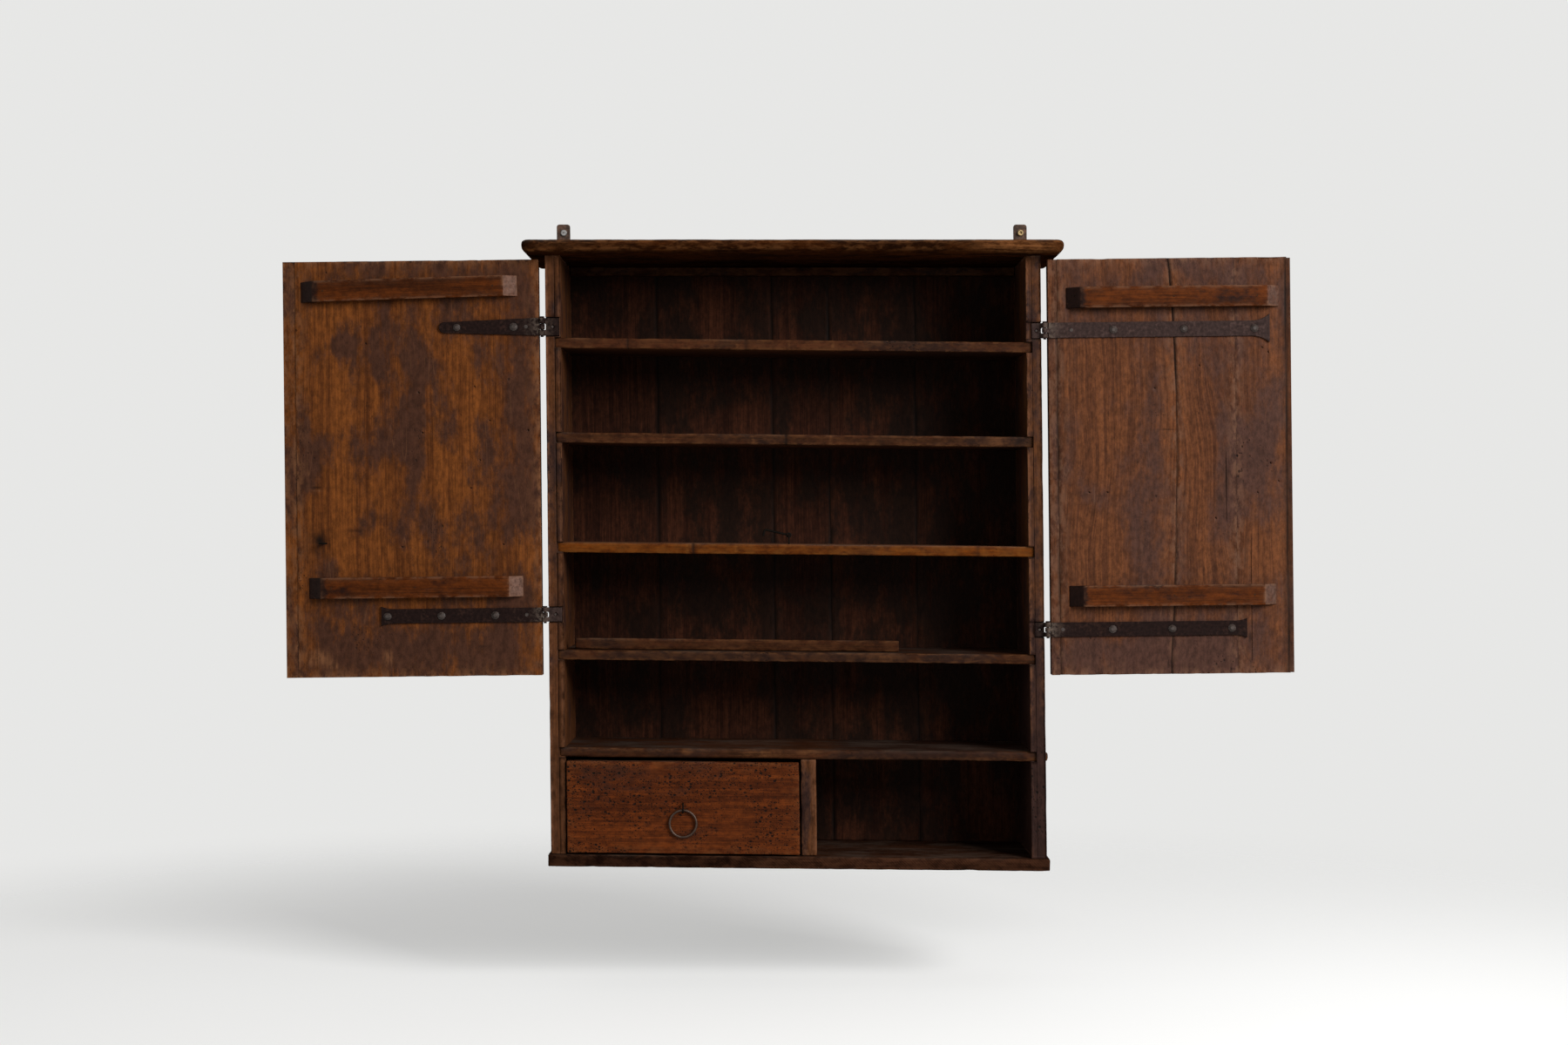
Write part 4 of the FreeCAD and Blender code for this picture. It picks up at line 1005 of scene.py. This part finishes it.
# Nicks across the shelves' front edges, black or pale
SHELF_STAINS = {
    "shelf_1": (
        (-218, -167, 2, 40, 0.7), (-61, -169, 4, 40, 0.6), (-73, -169, 2.5, 40, -0.7),
        (54, -168, 3, 40, -0.8), (-4, -168, 2, 40, -0.6),
    ),
    "shelf_2": (
        (-52, -295, 4, 40, -0.8), (-8, -296, 2.5, 40, 0.8), (51, -296, 3, 40, -0.8),
        (-170, -295, 2, 40, -0.7), (-265, -294, 2.5, 40, -0.7), (120, -297, 9, 40, 0.3),
        (272, -299, 17, 40, -0.7), (299, -300, 5, 40, 0.45),
    ),
    "shelf_3": (
        (-131, -440, 2.5, 40, 0.8), (-139, -440, 2.5, 40, -0.9), (-74, -441, 3, 40, -0.9),
        (246, -442, 3, 40, 0.5), (301, -443, 5, 40, -0.6),
    ),
    "shelf_4": ((120, -582, 30, 40, -0.7), (-119, -581, 25, 40, -0.5)),
}
# The back: redder, paler patches low in its bays, and paler on the left than on the right
BACK_WASHES = (
    (-100, -122, 24, 34, -0.24), (-70, -265, 44, 20, -0.24), (33, -260, 32, 22, -0.24),
    (-257, -407, 24, 44, -0.28), (13, -407, 22, 28, -0.26), (-163, -382, 9, 44, -0.20),
    (-80, -673, 38, 26, -0.24), (119, -673, 8, 44, -0.20), (-250, -420, 50, 400, -0.08),
    (140, -420, 50, 400, 0.05),
)
LOW_SHELF_WASHES = (
    (-60, -705, 25, 12, -0.25), (10, -706, 35, 12, -0.30), (170, -707, 110, 30, 0.30),
    (-230, -703, 80, 30, 0.08),
)
LOW_SHELF_STAINS = (
    (-139, -707, 7, 4, -1.6), (-41, -709, 7, 4, -1.4), (26, -708, 18, 3, -1.0), (-40, -711, 45, 5, -0.8),
)
FOOT_WASHES = ((-180, -855, 160, 60, 0.22), (200, -860, 180, 60, -0.20))
TOP_STAINS = ((295, -42, 60, 16, -1.0), (-300, -40, 40, 8, -0.3))
DIVIDER_WASHES = (
    (15, -785, 8, 50, 0.45), (27, -800, 5, 50, -0.20), (20, -724, 12, 9, -0.20),
)
DRAWER_WASHES = (
    (-250, -745, 60, 36, 0.13), (-120, -740, 60, 24, 0.06), (-60, -790, 60, 40, -0.12),
    (-200, -830, 90, 14, -0.10),
)
# Old nail holes in the doors, across and up in mm, and splits, across and from foot to head
RIGHT_HOLES = (
    (393, -364), (416, -364), (622, -172), (633, -325), (644, -349), (590, -363), (616, -364), (560, -398),
    (590, -459), (637, -116), (630, -178), (475, -226), (537, -196),
)
LEFT_HOLES = (
    (-617, -73), (-494, -232), (-489, -285), (-420, -224), (-400, -269), (-349, -282), (-413, -321),
    (-516, -436), (-382, -433), (-564, -167), (-571, -145), (-425, -358),
)
RIGHT_SPLITS = ((575, -404, -312), (609, -588, -424))


def on_board(node, places):
    """Spots on a board's front face from the places, across and up in mm, that fall on it."""
    low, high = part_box(node)
    spots = []
    for place in places:
        spot = Vector((place[0] * MM, low.y, place[1] * MM))
        if low.x + MARK_MARGIN < spot.x < high.x - MARK_MARGIN:
            spots.append(spot)
    return spots


def build_battens(door, wood):
    """A door's two ledges: each left bevel is washed black with glaze as painted shade, each right one
    rubbed.
    """
    for place in ("upper", "lower"):
        node = f"{door}_batten_{place}"
        low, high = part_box(node)
        middle = (low.z + high.z) / 2 / MM
        # the left bevel's black glaze wash is painted shade
        black = (low.x / MM + BEVEL_LONG / 2, middle, 0.6 * BEVEL_LONG, 2 * BEVEL_LONG, 0.9)
        plank(node, wood, along=0, washes=[black], chips=0.8 * MM, edge=DOOR_EDGE, reach=BATTEN_WEAR)


def build_left_door():
    """Wide board, closing strip with its tongue, and two battens."""
    wood = left_door_wood()
    holes = [(spot, OLD_HOLE) for spot in on_board("left_door_board", LEFT_HOLES)]
    plank(
        "left_door_board", wood, washes=LEFT_WASHES, stains=LEFT_STAINS, holes=holes, edge=FAINT_EDGE,
        seams=(0.3, 0.0), **DOOR_BOARD,
    )
    corners = board_corners("left_door_strip", True)
    rebate = (
        corners[(0, 0, 0)] + Vector((-TONGUE_WIDE, TONGUE_DEEP - LIP_ROOM / 2, -MM)),
        corners[(0, 1, 1)] + Vector((TONGUE_WIDE, MM, MM)),
    )
    plank(
        "left_door_strip", wood, washes=LEFT_WASHES, stains=LEFT_STAINS, cuts=[rebate], edge=FAINT_EDGE,
        seams=(0.0, 0.3), square=True, **DOOR_BOARD,
    )
    build_battens("left", batten_wood("left_batten_wood", PALE_BEVEL))


def build_right_door():
    """Strip, three boards and two battens; the last board has the lip."""
    wood = right_door_wood()
    plank("right_door_strip", wood, washes=RIGHT_WASHES, edge=DOOR_EDGE, seams=(0.0, 0.7), **DOOR_BOARD)
    # how dark each board's lower and higher seam is painted: dirt and painted shade
    seam_darkening = {1: (0.7, 1.0), 2: (1.0, 0.3), 3: (0.3, 0.0)}
    for k in (1, 2, 3):
        node = f"right_door_board_{k}"
        holes = [(spot, OLD_HOLE) for spot in on_board(node, RIGHT_HOLES)]
        splits = []
        for across, foot, head in RIGHT_SPLITS:
            spots = on_board(node, ((across, foot), (across, head)))
            if spots:
                splits.append((spots[0], spots[1], SPLIT_WIDE))
        cuts = []
        if k == 3:
            corners = board_corners(node, True)
            cuts.append((
                corners[(1, 0, 0)] - Vector((TONGUE_WIDE, MM, MM)),
                corners[(1, 0, 1)] + Vector((TONGUE_WIDE, TONGUE_DEEP + LIP_ROOM / 2, MM)),
            ))
        plank(
            node, wood, washes=RIGHT_WASHES, stains=RIGHT_STAINS, holes=holes, splits=splits, cuts=cuts,
            edge=DOOR_EDGE if k == 1 else FAINT_EDGE, seams=seam_darkening[k], square=k == 3,
            bow=(float(k == 2), float(k == 1)), **DOOR_BOARD,
        )
    build_battens("right", batten_wood("right_batten_wood", DULL_BEVEL))


# Drawer

def build_drawer():
    """Worm-eaten front on a plain box."""
    plank("drawer_front", drawer_wood(), along=0, washes=DRAWER_WASHES, chips=1.2 * MM)
    box_wood = inside_wood()
    for node in ("drawer_left_side", "drawer_right_side", "drawer_back", "drawer_bottom"):
        plank(node, box_wood)


# Ironwork

def to_front(points):
    """Way that nails in the face of a door point."""
    return Vector((0, -1, 0))


def build_ironwork():
    """Straps, hinge leaves, catch, ring and hanger plates, all hammered."""
    dark = strap_iron()
    pale = fishtail_iron()
    for side in ("left", "right"):
        pins = frame["nodes"][f"{side}_hinge_pins"].data.materials
        pins.clear()
        pins.append(dark)
        nails = [spot for spot, _ in nail_spots(f"{side}_strap_nails", to_front)]
        for place in ("upper", "lower"):
            low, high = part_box(f"{side}_hinge_leaf_{place}")
            hinge = low.x if side == "left" else high.x
            finish = pale if (side, place) == ("right", "upper") else dark
            forged(f"{side}_strap_{place}", finish, STRAP_CELL, hinge=hinge, nails=nails)
            finish = pale if (side, place) == ("left", "lower") else finish
            forged(f"{side}_hinge_leaf_{place}", finish, PLATE_CELL, LIGHT_HAMMER, hinge)
    black = catch_iron()
    for node in ("catch_staple", "catch_hook", "catch_eye", "ring_staple"):
        forged(node, black, WIRE_CELL, LIGHT_HAMMER)
    forged("ring_pull", ring_iron(), WIRE_CELL, LIGHT_HAMMER)
    plate = hanger_iron()
    for side in ("left", "right"):
        forged(f"{side}_hanger", plate, PLATE_CELL, PLATE_HAMMER)


# Nails

# Nails beaten flat at the hinge ends of the straps: across and up in mm
HINGE_NAILS = {
    "left": ((-352.0, -145.0), (-351.0, -526.0)),
    "right": ((369.0, -149.5), (358.0, -545.5)),
}
STRAP_BEHIND = 1.0 * MM         # the strap's face, behind the front of its knuckle
BEATEN_SINK = 2.75 * MM
# Kinds of heads: radius, crown and rise in mm, and how many facets
ROSE_HEAD = (5.6, 2.4, 3.0, 9)
FLAT_HEAD = (3.6, 3.0, 0.5, 4)
SMALL_HEAD = (2.0, 1.7, 0.3, 5)
NAIL_SEED = 4


def nail_tree():
    """Geometry nodes that set a hammered head on each point, facing the way that the point says."""
    tree = bpy.data.node_groups.new("hammered_nail_heads", "GeometryNodeTree")
    face = tree.interface
    face.new_socket("Points", in_out="INPUT", socket_type="NodeSocketGeometry")
    kinds = {
        "Radius": "Float", "Crown": "Float", "Rise": "Float", "Facets": "Int", "Seed": "Int",
        "Finish": "Material",
    }
    sockets = {}
    for name, kind in kinds.items():
        sockets[name] = face.new_socket(name, in_out="INPUT", socket_type="NodeSocket" + kind).identifier
    face.new_socket("Heads", in_out="OUTPUT", socket_type="NodeSocketGeometry")
    given = add(tree, "NodeGroupInput").outputs
    head = made(tree, "GeometryNodeMeshCone", {
        "Vertices": given["Facets"], "Side Segments": 2, "Fill Segments": 1, "Radius Top": given["Crown"],
        "Radius Bottom": given["Radius"], "Depth": given["Rise"],
    })

    def drawn(low, high):
        ends = {0: low, 1: high, "Seed": given["Seed"]}
        return made(tree, "FunctionNodeRandomValue", ends, data_type="FLOAT_VECTOR")

    facing = made(tree, "GeometryNodeInputNamedAttribute", {"Name": "facing"}, data_type="FLOAT_VECTOR")
    turn = made(tree, "FunctionNodeAlignRotationToVector", {"Vector": facing}, axis="Z")
    heads = made(tree, "GeometryNodeInstanceOnPoints", {
        "Points": given["Points"], "Instance": head, "Rotation": turn,
        "Scale": drawn((0.88, 0.88, 0.8), (1.0, 1.0, 1.0)),
    })
    spin = drawn((0.0, 0.0, 0.0), (0.0, 0.0, math.tau))
    heads = made(tree, "GeometryNodeRotateInstances", {"Instances": heads, "Rotation": spin})
    heads = made(tree, "GeometryNodeRealizeInstances", {0: heads})
    heads = made(tree, "GeometryNodeSetMaterial", {"Geometry": heads, "Material": given["Finish"]})
    add(tree, "NodeGroupOutput", {0: heads})
    return tree, sockets


def nail_spots(node, facing):
    """Middle of each nail's head on the wood's surface, with the way that it faces."""
    shell = merged(node)
    shell.verts.index_update()
    seen = set()
    spots = []
    for first in shell.verts:
        if first in seen:
            continue
        reached = {first}
        group = {first}
        while reached:
            reached = {edge.other_vert(vert) for vert in reached for edge in vert.link_edges} - group
            group |= reached
        seen |= group
        points = [vert.co.copy() for vert in sorted(group, key=lambda vert: vert.index)]
        way = facing(points)
        depth = max(point.dot(way) for point in points)
        middle = sum(points, Vector()) / len(points)
        spots.append((middle + way * (depth - middle.dot(way)), way))
    shell.free()
    return spots


def nail_heads(maker, name, node, facing, kind, material, sink, more=()):
    """Heads of one kind for a group of nails, sunk by some mm, as one plain mesh in place of its node."""
    tree, sockets = maker
    radius, crown, rise, facets = kind
    spots = [(spot - way * sink * MM, way) for spot, way in nail_spots(node, facing)] + list(more)
    mesh = bpy.data.meshes.new(name + "_points")
    mesh.from_pydata([spot for spot, _ in spots], [], [])
    ways = mesh.attributes.new("facing", "FLOAT_VECTOR", "POINT")
    for entry, (_, way) in zip(ways.data, spots):
        entry.vector = way
    holder = show(name + "_points", mesh)
    modifier = holder.modifiers.new("heads", "NODES")
    modifier.node_group = tree
    given = {
        "Radius": radius * MM, "Crown": crown * MM, "Rise": rise * MM, "Facets": facets, "Seed": NAIL_SEED,
        "Finish": material,
    }
    for key, value in given.items():
        modifier[sockets[key]] = value
    piece = dressed(name, plain_mesh(holder), material, body_of[node], smooth=False)
    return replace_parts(piece, node)


def build_nails():
    """Rose heads on the straps, small sunk heads on battens and leaves, flat ones elsewhere."""
    maker = nail_tree()
    dark = nail_iron()
    dull = flat_nail_iron()
    waxed = waxed_nail()
    case_low, case_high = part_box("case_nails")
    drawer_low, drawer_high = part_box("drawer_nails")
    case_middle = (case_low.z + case_high.z) / 2
    drawer_middle = (drawer_low.x + drawer_high.x) / 2

    def to_wall(points):
        return Vector((0, 1, 0))

    def up_or_down(points):
        return Vector((0, 0, 1 if points[0].z > case_middle else -1))

    def left_or_right(points):
        return Vector((1 if points[0].x > drawer_middle else -1, 0, 0))

    for door in ("left", "right"):
        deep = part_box(f"{door}_strap_upper")[0].y + STRAP_BEHIND + BEATEN_SINK
        beaten = [(Vector((x * MM, deep, z * MM)), to_front(())) for x, z in HINGE_NAILS[door]]
        nail_heads(maker, f"{door}_rose_nails", f"{door}_strap_nails", to_front, ROSE_HEAD, dark, 2.7, beaten)
        nail_heads(maker, f"{door}_small_nails", f"{door}_batten_nails", to_front, SMALL_HEAD, waxed, 0.4)
    nail_heads(maker, "leaf_flush_nails", "leaf_nails", to_front, SMALL_HEAD, dark, 0.2)
    flat = {"back": to_wall, "hanger": to_wall, "case": up_or_down, "drawer": left_or_right}
    for place, facing in flat.items():
        nail_heads(maker, f"{place}_flat_nails", f"{place}_nails", facing, FLAT_HEAD, dull, 0.5)


# Wall screws

def screw_head(name, hanger, radius, rise, recess, material):
    """Head of a wall screw in a hanger's hole: recess gives the driver recess's radius by angle."""
    low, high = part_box(hanger)
    centre = Vector(((low.x + high.x) / 2, low.y, 0.0))
    steps = 24
    angles = [math.tau * k / steps for k in range(steps)]
    shell = bmesh.new()
    rings = []
    for radii, depth in (
        ([radius] * steps, 0.0), ([radius] * steps, 0.45 * rise), ([radius * 0.8] * steps, rise),
        ([recess(angle) for angle in angles], rise), ([recess(angle) * 0.9 for angle in angles], 0.35 * rise),
    ):
        ring = []
        for angle, reach in zip(angles, radii):
            spot = Vector((reach * math.cos(angle), -depth, reach * math.sin(angle)))
            ring.append(shell.verts.new(centre + spot))
        rings.append(ring)
    for inner, outer in zip(rings, rings[1:]):
        for k in range(steps):
            shell.faces.new((inner[k - 1], inner[k], outer[k], outer[k - 1]))
    shell.faces.new(rings[-1])
    shell.faces.new(rings[0][::-1])
    bmesh.ops.recalc_face_normals(shell, faces=shell.faces)
    return dressed(name, to_mesh(name, shell), material, "carcase", smooth=False)


def build_wall_screws():
    """Cross-head steel on the left, socket head on the right."""

    def cross(angle):
        near = abs((angle + math.pi / 4) % (math.pi / 2) - math.pi / 4)
        return 2.2 * MM if near < 0.2 else 0.8 * MM

    def socket(angle):
        return 1.9 * MM / math.cos((angle + math.pi / 6) % (math.pi / 3) - math.pi / 6)

    screw_head("left_wall_screw", "left_hanger", 4.4 * MM, 2.4 * MM, cross, screw_steel())
    screw_head("right_wall_screw", "right_hanger", 4.2 * MM, 4.0 * MM, socket, screw_brass())


# Studio

def aim(thing, target):
    """Turn a light or camera to look at a point."""
    thing.rotation_euler = (target - thing.location).to_track_quat("-Z", "Y").to_euler()


def soft_light(name, way, power, target):
    """Large soft lamp from a direction."""
    lamp = bpy.data.lights.new(name, "AREA")
    lamp.energy = power
    lamp.size = LAMP_SIZE
    light = show(name, lamp)
    light.location = target + way.normalized() * LAMP_DISTANCE
    aim(light, target)


def floor_paint():
    """Pale floor that fades out into the background."""
    material, tree, surface = new_material("pale_floor")
    place = add(tree, "ShaderNodeTexCoord").outputs["Object"]
    flat = made(tree, "ShaderNodeVectorMath", {0: place, 1: (1.0, 1.0, 0.0)}, operation="MULTIPLY")
    reach = add(tree, "ShaderNodeVectorMath", {0: flat}, operation="LENGTH").outputs["Value"]
    seen = add(tree, "ShaderNodeLightPath").outputs["Is Camera Ray"]
    fill(surface, {
        "Base Color": BACKGROUND, "Roughness": 0.9, "Specular IOR Level": 0.1,
        "Alpha": between(reach, FLOOR_SOLID, FLOOR_GONE, 1.0, 0.0),
        "Emission Color": BACKGROUND, "Emission Strength": times(seen, FLOOR_GLOW),
    })
    return material


def build_studio():
    """Pale floor, pale surroundings and soft light from the right and a little above."""
    low, high = cad_box
    middle = (low + high) / 2
    soft_light("key_light", KEY_FROM, KEY_POWER, middle)
    soft_light("fill_light", FILL_FROM, FILL_POWER, middle)

    half = FLOOR_GONE
    level = low.z - FLOOR_BELOW
    mesh = bpy.data.meshes.new("studio_floor")
    corners = [(-half, -half, level), (half, -half, level), (half, half, level), (-half, half, level)]
    mesh.from_pydata(corners, [], [(0, 1, 2, 3)])
    mesh.materials.append(floor_paint())
    floor = show("studio_floor", mesh)

    world = bpy.data.worlds.new("studio")
    world.use_nodes = True
    tree = world.node_tree
    ambient = tree.nodes["Background"]
    fill(ambient, {"Color": (1.0, 1.0, 1.0, 1.0), "Strength": SKY_LIGHT})
    seen = made(tree, "ShaderNodeBackground", {"Color": BACKGROUND, "Strength": 1.0})
    path = add(tree, "ShaderNodeLightPath").outputs
    shown = larger(larger(path["Is Camera Ray"], path["Is Glossy Ray"]), path["Is Transmission Ray"])
    both = made(tree, "ShaderNodeMixShader", {0: shown, 1: ambient.outputs[0], 2: seen})
    fill(tree.nodes["World Output"], {"Surface": both})
    bpy.context.scene.world = world


def build_camera():
    """Level camera, square to the wall, as far off as the photograph's."""
    camera = bpy.data.cameras.new("camera")
    camera.lens = CAMERA_LENS
    camera.sensor_width = SENSOR_WIDTH
    holder = show("camera", camera)
    holder.location = CAMERA_PLACE
    aim(holder, CAMERA_PLACE + Vector((0, 1, 0)))
    bpy.context.scene.camera = holder


build_camera()
build_carcase()
build_back()
build_left_door()
build_right_door()
build_drawer()
build_ironwork()
build_nails()
build_wall_screws()
build_studio()
bpy.context.scene.view_settings.view_transform = "Standard"
